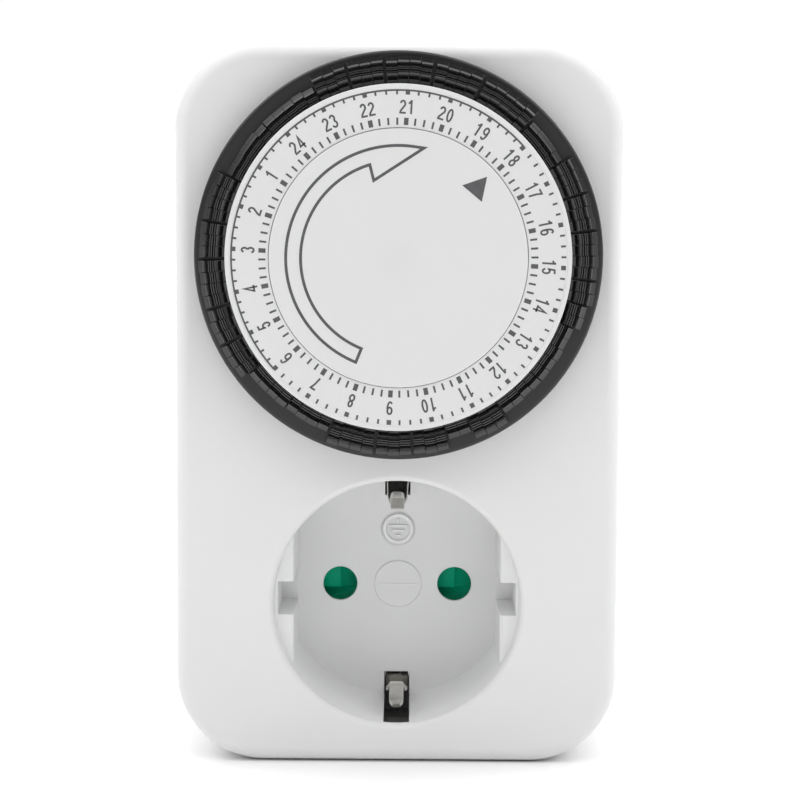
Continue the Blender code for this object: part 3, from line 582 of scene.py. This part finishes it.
def rear_housing():
    bm = bmesh.new()
    pairs = [
        (WALL, BACK + 3.0), (WALL, REAR_FRONT), (SEAM_CHAMFER, REAR_FRONT), (0.0, REAR_FRONT - SEAM_CHAMFER),
    ]
    pairs += edge_rounding(0.0, BACK, REAR_FILLET, -1)
    rings = loft(bm, [shell_outline(inset, height) for inset, height in pairs])
    turns = [math.pi / 2 * i / 5 for i in range(6)]
    root = [(BOSS_ROOT * (1 - math.sin(turn)), BACK - BOSS_ROOT * (1 - math.cos(turn))) for turn in turns]
    tip = [(-BOSS_TIP * (1 - math.cos(turn)), PLUG_FACE + BOSS_TIP * (1 - math.sin(turn))) for turn in turns]
    levels = [(BOSS_ROOT + 0.05, BACK), *root, *tip, (-BOSS_TIP - 0.05, PLUG_FACE)]
    boss = loft(bm, [boss_outline(grow, height) for grow, height in levels])
    fill(bm, rings[-1], boss[0])
    fill(bm, boss[-1])
    fill(bm, rings[0])
    shell = make("rear_housing", bm, WHITE)
    inside = BACK + 4.0
    cutters = [prism("cavity", oblong((-14.2, 14.2), (-12.5, 12.5), 6.0), BACK - 9.0, inside, WHITE)]
    collar = [(0, PLUG_FACE - 0.25), (3.85, PLUG_FACE - 0.25), (3.1, PLUG_FACE + 0.5), (0, PLUG_FACE + 0.5)]
    for side in (-1, 1):
        sides = (side * 16.3, side * 18.75)
        cutters.append(box("channel", (-2.0, 2.0), sides, (PLUG_FACE + 1.5, inside), WHITE))
        pin = (side * PIN_X, 0)
        cutters.append(prism("bore", circle(pin, PIN_RADIUS + 0.3, 40), PLUG_FACE - 1, BACK - 8.0, WHITE))
        cutters.append(turned("collar", collar, pin, 48, WHITE, closed=False))
    floor = BACK + 1.4
    seat = [(0, BACK - 0.25), (3.95, BACK - 0.25), (3.2, BACK + 0.5), (3.2, floor), (0, floor)]
    for place in PILLARS:
        cutters.append(turned("seat", seat, place, 40, WHITE, closed=False))
        cutters.append(prism("way", circle(place, SCREW_BORE, 16), BACK, inside, WHITE))
    cutters.append(prism("panel", oblong(PANEL_XS, PANEL_YS, 2.5), BACK - 1, BACK + 0.25, WHITE))
    combine(shell, "DIFFERENCE", cutters)
    settle(shell, "housing", ["rear_shell"])


def housing_screws():
    """Pan heads with a cross recess, in the wells of the rear shell."""
    top, foot, tip = -31.85, -30.75, -16.0
    head = rounded([
        (0, top, 0), (1.9, top + 0.1, 0.4), (2.8, top + 0.75, 0.25), (2.8, foot, 0), (1.4, foot, 0),
        (1.4, tip, 0), (0, tip, 0),
    ], closed=False, steps=4)
    for i, place in enumerate(PILLARS, 1):
        screw = turned(f"pan_screw_{i}", head, place, 40, STEEL, closed=False)
        turn = math.radians(20 + 35 * i)
        drives = []
        for quarter in (0, 1):
            bm = bmesh.new()
            slab(bm, oblong((-1.5, 1.5), (-0.28, 0.28)), top - 1.15, top + 0.7)
            spin = Matrix.Translation((*place, 0)) @ Matrix.Rotation(turn + quarter * math.pi / 2, 4, "Z")
            bmesh.ops.transform(bm, matrix=spin, verts=bm.verts)
            drives.append(make("drive", bm, STEEL))
        combine(screw, "DIFFERENCE", drives)
        settle(screw, "housing", [f"housing_screw_{i}"])


def slider_knob():
    """The override slider: a black knob with grip ribs, its neck and its back plate."""
    ys, face = (35.6, 40.4), HALF_WIDTH - 0.3
    knob = soft_box("slider_knob", (HALF_WIDTH - 0.7, face), ys, (-13.4, -8.0), BLACK, 0.1, 2)
    others = [
        box("neck", (HALF_WIDTH - 2.5, HALF_WIDTH - 0.5), (36.6, 39.4), (-11.8, -9.6), BLACK),
        box("back", (HALF_WIDTH - 3.4, HALF_WIDTH - 2.3), (34.0, 42.0), (-14.4, -7.0), BLACK),
    ]
    for k in range(5):
        y = ys[0] + 0.8 + k * 0.8
        rib = (face - 0.2, face + 0.25), (y - 0.22, y + 0.22), (-12.9, -8.5)
        others.append(soft_box("rib", *rib, BLACK, 0.1, 2))
    combine(knob, "UNION", others)
    settle(knob, "override", ["override_slider"])


# Socket


def rib_block(name, side):
    """A segment of the well's circle, whose flat leans out a little towards the front."""
    bm = bmesh.new()
    radius = 20.2
    rings = []
    for flat, height in (
        (RIB_FLAT_FLOOR, FLOOR - 1), (RIB_FLAT_FRONT - 0.05, RIB_FRONT - 0.4),
        (RIB_FLAT_FRONT + 0.35, RIB_FRONT),
    ):
        reach = math.acos(flat / radius)
        angles = [reach * (i / 12 - 1) for i in range(25)]
        rings.append([
            (side * radius * math.cos(angle), side * radius * math.sin(angle), height) for angle in angles
        ])
    verts = loft(bm, rings)
    bm.faces.new(verts[0][::-1])
    bm.faces.new(verts[-1])
    return make(name, bm, WELL_PAINTED_FILL)


def floor_marks():
    """The earth sign and the plain disc with its bar, in low relief on the floor of the well."""
    low, high, plate_top = FLOOR - 0.3, FLOOR + 0.42, FLOOR + 0.3
    x, y = SIGN
    ring = [
        (1.9, low), (2.0, high - 0.06), (2.06, high), (2.42, high), (2.48, high - 0.06),
        (SIGN_RADIUS + 0.06, low),
    ]
    plate = rounded([
        (0, low, 0), (PLATE_RADIUS + 0.15, low, 0), (PLATE_RADIUS - 0.1, plate_top, 0.12), (0, plate_top, 0)
    ], closed=False, steps=3)
    marks = [
        turned("sign_ring", ring, SIGN, 72, WELL_PAINTED_FILL),
        turned("plain_disc", plate, PLATE, 80, WELL_PAINTED_FILL, closed=False),
        ridge("disc_bar", PLATE[0], 3.2, (-0.15, 0.15), plate_top + 0.2),
        ridge("sign_stem", x, SIGN_STROKE, (y + 0.9, y + 1.72), high),
    ]
    for half, middle in ((1.6, 0.52), (1.1, -0.3), (0.45, -1.12)):
        ys = (y + middle - SIGN_STROKE, y + middle + SIGN_STROKE)
        marks.append(ridge("sign_bar", x, half, ys, high))
    return marks


def sign_groove():
    """The shallow groove round the earth sign, deepest beside the ring."""
    bed, clear = FLOOR - 0.22, FLOOR + 0.3
    section = [
        (SIGN_RADIUS - 0.1, bed), (SIGN_RADIUS + 0.12, bed), (SIGN_RADIUS + 0.5, FLOOR + 0.04),
        (SIGN_RADIUS + 0.5, clear), (SIGN_RADIUS - 0.1, clear),
    ]
    return turned("sign_groove", section, SIGN, 80, WELL_PAINTED_FILL)


def ridge(name, x, half, ys, top):
    """A low bar whose sides lean in towards its top."""
    bm = bmesh.new()
    rings = []
    for lean, height in ((0.0, FLOOR - 0.2), (0.0, FLOOR + 0.1), (0.07, top)):
        outline = [(x - half + lean, ys[0] + lean), (x + half - lean, ys[0] + lean)]
        outline += [(x + half - lean, ys[1] - lean), (x - half + lean, ys[1] - lean)]
        rings.append(at_height(outline, height))
    verts = loft(bm, rings)
    bm.faces.new(verts[0][::-1])
    bm.faces.new(verts[-1])
    return make(name, bm, WELL_PAINTED_FILL)


def socket_well():
    back = WELL_BACK + 2.4
    seat = RIM_LEVEL - 0.005
    rim, flange, tube = RIM_SEAT - 0.05, 23.0, 21.4
    profile = rounded([
        (0, FLOOR, 0), (FLOOR_RADIUS, FLOOR, 0.15), (MOUTH_RADIUS, seat, 0), (rim, seat, 0), (rim, -2.3, 0),
        (flange, -2.3, 0), (flange, -4.3, 0), (tube, -4.3, 0), (tube, back, 0), (0, back, 0),
    ], closed=False)
    well = turned("socket_well", profile, (0, 0), 160, WELL_PAINTED_FILL, closed=False)
    rails = [
        box("rail", (-18, 18), (side * 5.4, side * 6.6), (back + 0.5, WELL_BACK), WELL_PAINTED_FILL) for side in (-1, 1)
    ]
    combine(well, "UNION", [rib_block("rib_left", -1), rib_block("rib_right", 1), *rails])
    hole = [
        (0, back - 1), (PIN_HOLE + 0.5, back - 1), (PIN_HOLE, FLOOR - 0.3), (PIN_HOLE + 0.12, FLOOR + 0.1),
        (0, FLOOR + 0.1),
    ]
    cutters = []
    for side in (-1, 1):
        cutters.append(box("notch", (side * 15, side * NOTCH_X), NOTCH_YS, (NOTCH_DEPTH, 1), WELL_PAINTED_FILL))
        ys = (side * EARTH_START, side * 24)
        cutters.append(box("earth_slot", (-EARTH_HALF, EARTH_HALF), ys, (back - 1, -1.0), WELL_PAINTED_FILL))
        cutters.append(turned("pin_hole", hole, (side * PIN_X, 0), 64, WELL_PAINTED_FILL, closed=False))
    combine(well, "DIFFERENCE", [*cutters, sign_groove()])
    combine(well, "UNION", floor_marks())
    # Faces on the tops of the raised marks take the lighter material, a painted highlight.
    well.data.materials.append(MARKS_PAINTED_HIGHLIGHT)
    lowest, highest = FRONT - (FLOOR + 0.55) * MM, FRONT - (FLOOR + 0.33) * MM
    for face in well.data.polygons:
        beside, along = abs(face.center.x), abs(face.center.z - 4 * MM)
        if beside < 4 * MM and along < 8 * MM and lowest < face.center.y < highest:
            face.material_index = 1
    settle(well, "housing", ["socket_insert"])


def shutter_plate():
    """The sliding shutter, with a raised land and a stepped ramp behind each pin hole."""
    back, front = SHUTTER_LOW.z, SHUTTER_HIGH.z
    half = 3.2
    xs, ys = (SHUTTER_LOW.x, SHUTTER_HIGH.x), (SHUTTER_LOW.y, SHUTTER_HIGH.y)
    plate = box("shutter_plate", xs, ys, (back, front), GREEN, radius=0.5)
    cutters = []
    for side in (-1, 1):
        window = side * PIN_X - SHUTTER_TRAVEL
        xs = (window - half, window + half)
        cutters.append(box("window", xs, (-half, half), (back - 1, front + 1), GREEN, 0.4))
        x = side * PIN_X
        bm = bmesh.new()
        slab(bm, [(x + 0.1, -1.05), (x + 3.7, -1.05), (x + 3.7, 3.4), (x + 0.1, 3.4)], 0.0, 3.0)
        for vert in bm.verts:
            deep = front - 0.55 - 1.05 * (vert.co.x - x) / 3.7
            vert.co.z = deep if vert.co.z < 1.0 else front + 1.0
        cutters.append(make("ramp", bm, GREEN))
        cutters.append(box("step", (x - 3.4, x + 3.7), (-3.6, -1.0), (front - 1.2, front + 1), GREEN))
    combine(plate, "DIFFERENCE", cutters)
    bevel(plate, 0.08, 1)
    settle(plate, "shutter", ["socket_shutter"])


def strip(bm, line, thickness, half_widths):
    """A bent strip along a line of (height, y) points, with its half width at each."""
    points = [Vector(point) for point in line]
    rings = []
    for i, point in enumerate(points):
        into = (point - points[i - 1]).normalized() if i else (points[1] - point).normalized()
        out = (points[i + 1] - point).normalized() if i < len(points) - 1 else into
        along = (into + out).normalized()
        across = Vector((-along.y, along.x)) * thickness / 2 / max(along.dot(into), 0.6)
        half = half_widths[i]
        edge = min(0.12, half / 3)
        near, far = point + across, point - across
        inner = half - edge
        corners = ((-inner, near), (inner, near), (half, point), (inner, far), (-inner, far), (-half, point))
        rings.append([(x, at.y, at.x) for x, at in corners])
    verts = loft(bm, rings)
    bm.faces.new(verts[0][::-1])
    bm.faces.new(verts[-1])


def earth_clips():
    """One stamped strap: a clip at the recess's top and bottom, a bar between, and the side contacts."""
    bm = bmesh.new()
    for side in (-1, 1):
        line = rounded([
            (-2.9, 17.35, 0), (-3.6, 16.9, 0.5), (-6.5, 14.25, 1.4), (-9.0, 15.95, 1.0), (-23.4, 19.0, 0.8),
            (-26.6, 17.0, 0.8), (PLUG_FACE + 2.0, 17.0, 0),
        ], closed=False, steps=6, guard=0.1)
        widths = []
        for height, _ in line:
            if height > -7.6:
                widths.append(1.15 if height < -3.4 else 0.7 + 0.45 * (-height - 2.9) / 0.5)
            elif height > -8.4:
                widths.append(1.15 + 0.5 * (-7.6 - height) / 0.8)
            else:
                widths.append(1.65 if height > -12.0 else 1.94)
        strip(bm, [(height, side * y) for height, y in line], 0.8, widths)
    bar = [(-26.6, 16.9), (-26.6, 14.0), (-22.7, 10.0)]
    bar += [(height, -y) for height, y in reversed(bar)]
    strip(bm, bar, 0.8, (1.94, 1.94, 2.5, 2.5, 1.94, 1.94))
    clips = make("earth_clips", bm, NICKEL)
    settle(clips, "housing", ["earth_strap"])


def plug_pins():
    """Round pins with a fine groove at the boss's face and a collar inside it."""
    collar, waist = (-40.7, -39.0), PIN_RADIUS - 0.1
    for name, x, node in (("pin_neutral", -PIN_X, "neutral_pin"), ("pin_line", PIN_X, "line_pin")):
        end = face_box(node)[0].z
        profile = rounded([
            (0, end, 0), (PIN_RADIUS, end, 1.5), (PIN_RADIUS, PLUG_FACE + 0.2, 0),
            (waist, PLUG_FACE + 0.35, 0), (waist, PLUG_FACE + 0.9, 0), (PIN_RADIUS, PLUG_FACE + 1.1, 0),
            (PIN_RADIUS, collar[0], 0), (3.2, collar[0], 0), (3.2, collar[1], 0.3), (0, collar[1], 0),
        ], closed=False, steps=8)
        turned(
            name, profile, (x, 0), 56, NICKEL, closed=False, body="housing", slot="nickel", replaces=[node]
        )


# Dial


def banks():
    """(how far in, number of tabs, middle angle, half angle) of each bank, clockwise from the top."""
    found = []
    angle = FIRST_TAB
    for inset, counts in TAB_RUNS:
        for count in counts:
            half = count * TAB_PITCH / 2
            found.append((inset, count, angle + half, half))
            angle += 2 * half
    return found


def drum_body():
    """The drum: a tray for the tabs round a hub that turns on the post, with the ring gear inside."""
    floor, skirt, foot = 5.2, 0.8, -0.9
    wall, ring_seat, hub, bore = 24.5, 22.6, 5.5, 3.2
    profile = rounded([
        (wall, floor, 0.3), (DRUM_RADIUS, floor, 0.55), (DRUM_RADIUS, skirt, 0.3), (30.8, skirt, 0),
        (30.8, 3.8, 0), (wall, 3.8, 0), (wall, skirt, 0), (ring_seat, skirt, 0), (ring_seat, 6.2, 0),
        (hub, 6.2, 0), (hub, foot, 0), (bore, foot, 0), (bore, 8.0, 0), (hub, 8.0, 0), (hub, 7.6, 0),
        (ring_seat, 7.6, 0), (ring_seat, 8.1, 0), (wall, 8.1, 0.15),
    ])
    drum = turned("drum_body", profile, DIAL, 192, BLACK)
    bm = bmesh.new()
    for inset, count, middle, half in banks():
        for k in range(count):
            turn = math.radians(90 - (middle - half + (k + 0.5) * TAB_PITCH))
            start = len(bm.verts)
            slab(bm, oblong((24.8, 27.9), (-0.65, 0.65)), 3.0, 6.0)
            bm.verts.ensure_lookup_table()
            about = Matrix.Translation((*DIAL, 0)) @ Matrix.Rotation(turn, 4, "Z")
            bmesh.ops.transform(bm, matrix=about, verts=bm.verts[start:])
    slots = make("foot_slots", bm, BLACK)
    combine(drum, "DIFFERENCE", [slots])
    teeth = bmesh.new()
    root, tip = 21.875, 20.44
    outer = circle(DIAL, ring_seat - 0.05, 4 * GEAR_TEETH)
    inner = []
    for i in range(GEAR_TEETH):
        for radius, offset in ((root, -0.028), (tip, -0.0115), (tip, 0.0115), (root, 0.028)):
            angle = 2 * math.pi * i / GEAR_TEETH + offset
            inner.append((DIAL[0] + radius * math.cos(angle), DIAL[1] + radius * math.sin(angle)))
    low, high = 1.0, 5.4
    rings = [at_height(outer, low), at_height(inner, low), at_height(inner, high), at_height(outer, high)]
    loft(teeth, rings, closed_path=True)
    make("drum_gear", teeth, BLACK, body="dial", slot="black_plastic")
    settle(drum, "dial", ["dial_drum"])


def tab_profile(toe):
    """(radius, height) round a tab: its toe, the crest, two fine ridges, and the groove beside the ring."""
    points = [(26.3, 5.5), (31.1, 5.5), (31.05, toe), (30.46, 7.06), (30.18, 7.36)]
    for middle in (29.45, 28.75):
        points += [(middle + 0.3, 7.05), (middle + 0.08, 7.38), (middle - 0.08, 7.38), (middle - 0.2, 7.05)]
    return points + [(28.2, 7.0), (27.5, 6.6), (26.3, 6.6)]


def set_in(points, depth):
    """The outline moved inwards by a depth."""
    made = []
    count = len(points)
    for i, point in enumerate(points):
        before, here, after = Vector(points[i - 1]), Vector(point), Vector(points[(i + 1) % count])
        into, out = (here - before).normalized(), (after - here).normalized()
        normal = Vector((-(into.y + out.y), into.x + out.x)).normalized()
        made.append(tuple(here + normal * depth / max(normal.dot(Vector((-into.y, into.x))), 0.5)))
    return made


def tabs():
    """96 quarter-hour tabs, each riding on its bank."""
    number = 0
    for index, (inset, count, middle, half) in enumerate(banks(), 1):
        bank = f"tab_bank_{index:02d}"
        profile = tab_profile(TOE_IN if inset else TOE_OUT)
        slim = set_in(profile, 0.04)
        clearance = TAB_TRAVEL * math.sin(math.radians(half)) + 0.03
        spare = math.degrees(clearance / (26.3 - TAB_TRAVEL))
        pitch = 2 * (half - spare) / count
        inward = math.radians(90 - middle)
        shift = Vector((-inset * math.cos(inward), -inset * math.sin(inward), 0))
        for k in range(count):
            number += 1
            start = middle - half + spare + k * pitch
            gap = 0.02 / 29.0
            first, last = math.radians(start) + gap, math.radians(start + pitch) - gap
            chamfer = 0.05 / 29.0
            stops = [(first, slim), (first + chamfer, profile)]
            stops += [(first + chamfer + (last - first - 2 * chamfer) * s / 3, profile) for s in (1, 2)]
            stops += [(last - chamfer, profile), (last, slim)]
            uneven = 0.08 * math.sin(number * 2.4) + 0.05 * math.sin(number * 5.1)
            rings = []
            for angle, section in stops:
                ring = []
                for radius, height in section:
                    x, y = polar(math.degrees(angle), radius + uneven * (radius > 27))
                    ring.append((x, y, height))
                rings.append(ring)
            bm = bmesh.new()
            verts = loft(bm, rings)
            bm.faces.new(verts[0][::-1])
            bm.faces.new(verts[-1])
            centre = math.radians(90 - math.degrees((first + last) / 2))
            about = Matrix.Translation((*DIAL, 0)) @ Matrix.Rotation(centre, 4, "Z")
            foot = len(bm.verts)
            slab(bm, oblong((26.7, 27.5), (-0.4, 0.4)), 1.6, 5.8)
            bm.verts.ensure_lookup_table()
            bmesh.ops.transform(bm, matrix=about, verts=bm.verts[foot:])
            bmesh.ops.translate(bm, vec=shift, verts=bm.verts)
            make(
                f"tab_{number:02d}", bm, TAB_BLACK, body=bank, slot="black_plastic", replaces=[bank],
                sharp=25.0,
            )


def bow(x, y, across, high, first, last, steps=14):
    """Points of an ellipse's arc, its angles in degrees."""
    angles = [math.radians(first + (last - first) * i / steps) for i in range(steps + 1)]
    return [(x + across * math.cos(a), y + high * math.sin(a)) for a in angles]


# The strokes of the digits, in a box about 0.44 wide and 1 high
DIGITS = {
    "0": [bow(0.22, 0.5, 0.16, 0.43, 90, 450, 28)],
    "1": [[(0.03, 0.76), (0.16, 0.81), (0.24, 0.97)], [(0.24, 1.0), (0.24, 0.0)]],
    "2": [bow(0.21, 0.71, 0.16, 0.22, 170, -28) + [(0.06, 0.2), (0.04, 0.07), (0.44, 0.07)]],
    "3": [bow(0.2, 0.73, 0.15, 0.2, 165, -80), bow(0.2, 0.28, 0.17, 0.22, 80, -165)],
    "4": [[(0.31, 0.0), (0.31, 0.94), (0.03, 0.27), (0.46, 0.27)]],
    "5": [[(0.4, 0.93), (0.12, 0.93), (0.07, 0.5)] + bow(0.21, 0.32, 0.16, 0.26, 130, -165, 18)],
    "6": [bow(0.22, 0.3, 0.16, 0.24, 0, 360, 24), bow(0.24, 0.5, 0.18, 0.43, 205, 45)],
    "7": [[(0.02, 0.93), (0.4, 0.93), (0.26, 0.55), (0.16, 0.0)]],
    "8": [bow(0.22, 0.73, 0.13, 0.2, 0, 360, 24), bow(0.22, 0.28, 0.16, 0.22, 0, 360, 24)],
    "9": [bow(0.22, 0.7, 0.16, 0.24, 0, 360, 24), bow(0.2, 0.5, 0.18, 0.43, 25, -135)],
}
DIGIT_STEP = 0.58
DIGIT_STROKE = 0.29


def number(bm, text, height, radius, angle, base):
    """A number printed on the dial, its foot towards the centre."""
    turn = math.radians(90 - angle)
    up = Vector((math.cos(turn), math.sin(turn)))
    right = Vector((up.y, -up.x))
    middle = Vector(DIAL) + up * radius
    width = DIGIT_STEP * (len(text) - 1) + 0.44
    for i, digit in enumerate(text):
        for k, stroke in enumerate(DIGITS[digit]):
            points = []
            for x, y in stroke:
                points.append(middle + (right * (DIGIT_STEP * i + x - width / 2) + up * (y - 0.5)) * height)
            whole = (points[0] - points[-1]).length < 1e-6
            band(bm, points[:-1] if whole else points, DIGIT_STROKE, base + 0.0005 * k, closed=whole)


def band(bm, points, width, base, closed=False):
    """A printed line of even width along (x, y) points."""
    sides = ([], [])
    count = len(points)
    for i, point in enumerate(points):
        here = Vector(point)
        before = Vector(points[i - 1]) if closed or i else None
        after = Vector(points[(i + 1) % count]) if closed or i < count - 1 else None
        into = (here - before).normalized() if before is not None else (after - here).normalized()
        out = (after - here).normalized() if after is not None else into
        along = (into + out).normalized()
        across = Vector((-along.y, along.x)) * width / 2 / max(abs(along.dot(into)), 0.28)
        sides[0].append(here + across)
        sides[1].append(here - across)
    low, high = base - PRINT_TOP, base + PRINT_TOP
    rings = [[(a.x, a.y, low), (b.x, b.y, low), (b.x, b.y, high), (a.x, a.y, high)] for a, b in zip(*sides)]
    verts = loft(bm, rings, closed_path=closed)
    if not closed:
        bm.faces.new(verts[0][::-1])
        bm.faces.new(verts[-1])


def scale_ring():
    """The white hour ring, with its raised rim, and its print."""
    face = RING_TOP - 0.15
    edge = RING_RADIUS - 0.12
    rebate = DISC_RADIUS + 0.1
    profile = rounded([
        (RING_BORE, DISC_BED, 0), (rebate, DISC_BED, 0), (rebate, face, 0.03), (26.12, face, 0.05),
        (26.24, RING_TOP, 0.06), (edge, RING_TOP, 0.2), (edge, RING_LOW.z, 0.1), (RING_BORE, RING_LOW.z, 0),
    ], steps=4, guard=0.02)
    turned(
        "scale_ring", profile, DIAL, 192, FACE_WHITE, body="dial", slot="printed_white",
        replaces=["dial_face"],
    )

    bm = bmesh.new()
    for hour in range(1, 25):
        angle = 3.0 + 15.0 * (21 - hour)
        number(bm, str(hour), 2.15, 23.32, angle, face)
        for quarter in range(4):
            at = angle + quarter * TAB_PITCH
            width = 0.7 if quarter == 0 else 0.31
            for low, high in ((20.55, 21.65), (25.2, 25.95)):
                band(bm, [polar(at, low), polar(at, high)], width, face)
    night = [polar(48.0 - 180.0 * i / 90, 25.86) for i in range(91)]
    band(bm, night, 0.28, face + 0.001)
    make("scale_print", bm, INK, body="dial", slot="printed_white")


def hub_disc():
    """The fixed centre disc, with the turning arrow and the time pointer printed on it."""
    low, pocket, ceiling = DISC_BED + 0.12, 3.1, POST_TOP + 0.03
    profile = rounded([
        (0, DISC_FACE, 0), (DISC_RADIUS, DISC_FACE, 0.06), (DISC_RADIUS, DISC_FACE - 0.3, 0),
        (DISC_RADIUS - 0.3, low, 0), (pocket, low, 0), (pocket, ceiling, 0), (0, ceiling, 0),
    ], closed=False, steps=3)
    turned(
        "hub_disc", profile, DIAL, 192, FACE_WHITE, closed=False, body="housing", slot="printed_white",
        replaces=["centre_disc"],
    )
    bm = bmesh.new()
    tail, notch = 202.0, 342.8
    outer = [polar(tail + (360 + 10.0 - tail) * i / 60, 17.4) for i in range(61)]
    inner = [polar(notch + (tail - notch) * i / 60, 15.1) for i in range(61)]
    band(bm, [*outer, polar(12.8, 17.45), polar(-17.8, 12.6), *inner], 0.46, DISC_FACE, closed=True)
    pointer = [polar(47.0, 18.6), polar(55.5, 15.55), polar(40.8, 14.98)]
    slab(bm, pointer, DISC_FACE - PRINT_TOP, DISC_FACE + PRINT_TOP)
    make("hub_print", bm, INK, body="housing", slot="printed_white")


# Stage


def camera():
    """Seen from in front and a little above, as a product is photographed."""
    pitch, yaw, roll = math.radians(6.669), math.radians(-0.220), math.radians(0.322)
    forward = Vector((math.sin(yaw) * math.cos(pitch), math.cos(yaw) * math.cos(pitch), -math.sin(pitch)))
    right = forward.cross(Vector((0, 0, 1))).normalized()
    up = right.cross(forward)
    right, up = math.cos(roll) * right + math.sin(roll) * up, -math.sin(roll) * right + math.cos(roll) * up
    lens = bpy.data.cameras.new("camera")
    lens.sensor_width = 36.0
    lens.lens = 121.1
    eye = bpy.data.objects.new("camera", lens)
    bpy.context.scene.collection.objects.link(eye)
    place = Matrix.Translation((0.00198, FRONT - 0.425, 0.08257))
    eye.matrix_world = place @ Matrix((right, up, -forward)).transposed().to_4x4()
    bpy.context.scene.camera = eye


def soft_light(name, place, target, size, power):
    lamp = bpy.data.lights.new(name, "AREA")
    lamp.shape = "RECTANGLE"
    lamp.size, lamp.size_y = size
    lamp.energy = power
    obj = bpy.data.objects.new(name, lamp)
    bpy.context.scene.collection.objects.link(obj)
    obj.location = place
    obj.rotation_euler = (Vector(target) - Vector(place)).to_track_quat("-Z", "Y").to_euler()
    obj.visible_camera = False


def studio():
    """A white room, brightest overhead and darker in front, with soft boxes at both sides."""
    world = bpy.data.worlds.new("studio")
    world.use_nodes = True
    tree = world.node_tree
    background = tree.nodes["Background"]
    direction = tree.nodes.new("ShaderNodeTexCoord")
    parts = tree.nodes.new("ShaderNodeSeparateXYZ")
    tree.links.new(direction.outputs["Generated"], parts.inputs["Vector"])
    total = background.inputs["Strength"]
    ramps = (
        ("Y", (-0.85, 0.3), (0.26, 0.72)), ("Y", (0.9, 0.97), (0.0, 0.3)), ("Z", (0.3, 0.95), (0.0, 1.28)),
    )
    for i, (axis, span, levels) in enumerate(ramps):
        ramp = tree.nodes.new("ShaderNodeMapRange")
        ramp.interpolation_type = "SMOOTHSTEP"
        ramp.inputs["From Min"].default_value, ramp.inputs["From Max"].default_value = span
        ramp.inputs["To Min"].default_value, ramp.inputs["To Max"].default_value = levels
        tree.links.new(parts.outputs[axis], ramp.inputs["Value"])
        if i < len(ramps) - 1:
            both = tree.nodes.new("ShaderNodeMath")
            tree.links.new(both.outputs["Value"], total)
            tree.links.new(ramp.outputs["Result"], both.inputs[0])
            total = both.inputs[1]
        else:
            tree.links.new(ramp.outputs["Result"], total)
    background.inputs["Color"].default_value = (1, 1, 1, 1)
    bpy.context.scene.world = world
    bpy.context.scene.view_settings.view_transform = "Standard"
    aim = (0, FRONT, 0.05)
    soft_light("left_softbox", (-0.5, FRONT - 0.45, 0.42), aim, (0.2, 0.24), 0.42)
    soft_light("right_softbox", (0.5, FRONT - 0.45, 0.42), aim, (0.2, 0.24), 0.42)
    soft_light("left_rim", (-0.42, FRONT + 0.12, 0.50), (0, FRONT, 0.09), (0.2, 0.3), 0.35)
    soft_light("right_rim", (0.50, FRONT + 0.14, 0.34), (0, FRONT, 0.09), (0.2, 0.5), 0.5)

    bm = bmesh.new()
    bmesh.ops.create_grid(bm, x_segments=1, y_segments=1, size=6.0)
    mesh = bpy.data.meshes.new("floor")
    bm.to_mesh(mesh)
    bm.free()
    floor = bpy.data.objects.new("floor", mesh)
    floor.location = (0, 0, CAD_BOX[0].z - 0.0002)
    bpy.context.scene.collection.objects.link(floor)
    pale, _, shader = shader_material("pale_floor")
    shader.inputs["Base Color"].default_value = (0.95, 0.95, 0.95, 1)
    shader.inputs["Roughness"].default_value = 0.8
    mesh.materials.append(pale)


camera()
front_housing()
rear_housing()
housing_screws()
slider_knob()
socket_well()
shutter_plate()
earth_clips()
plug_pins()
drum_body()
tabs()
scale_ring()
hub_disc()
for node, look in CARRIED.items():
    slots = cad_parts[node].data.materials
    slots.clear()
    slots.append(look)
studio()
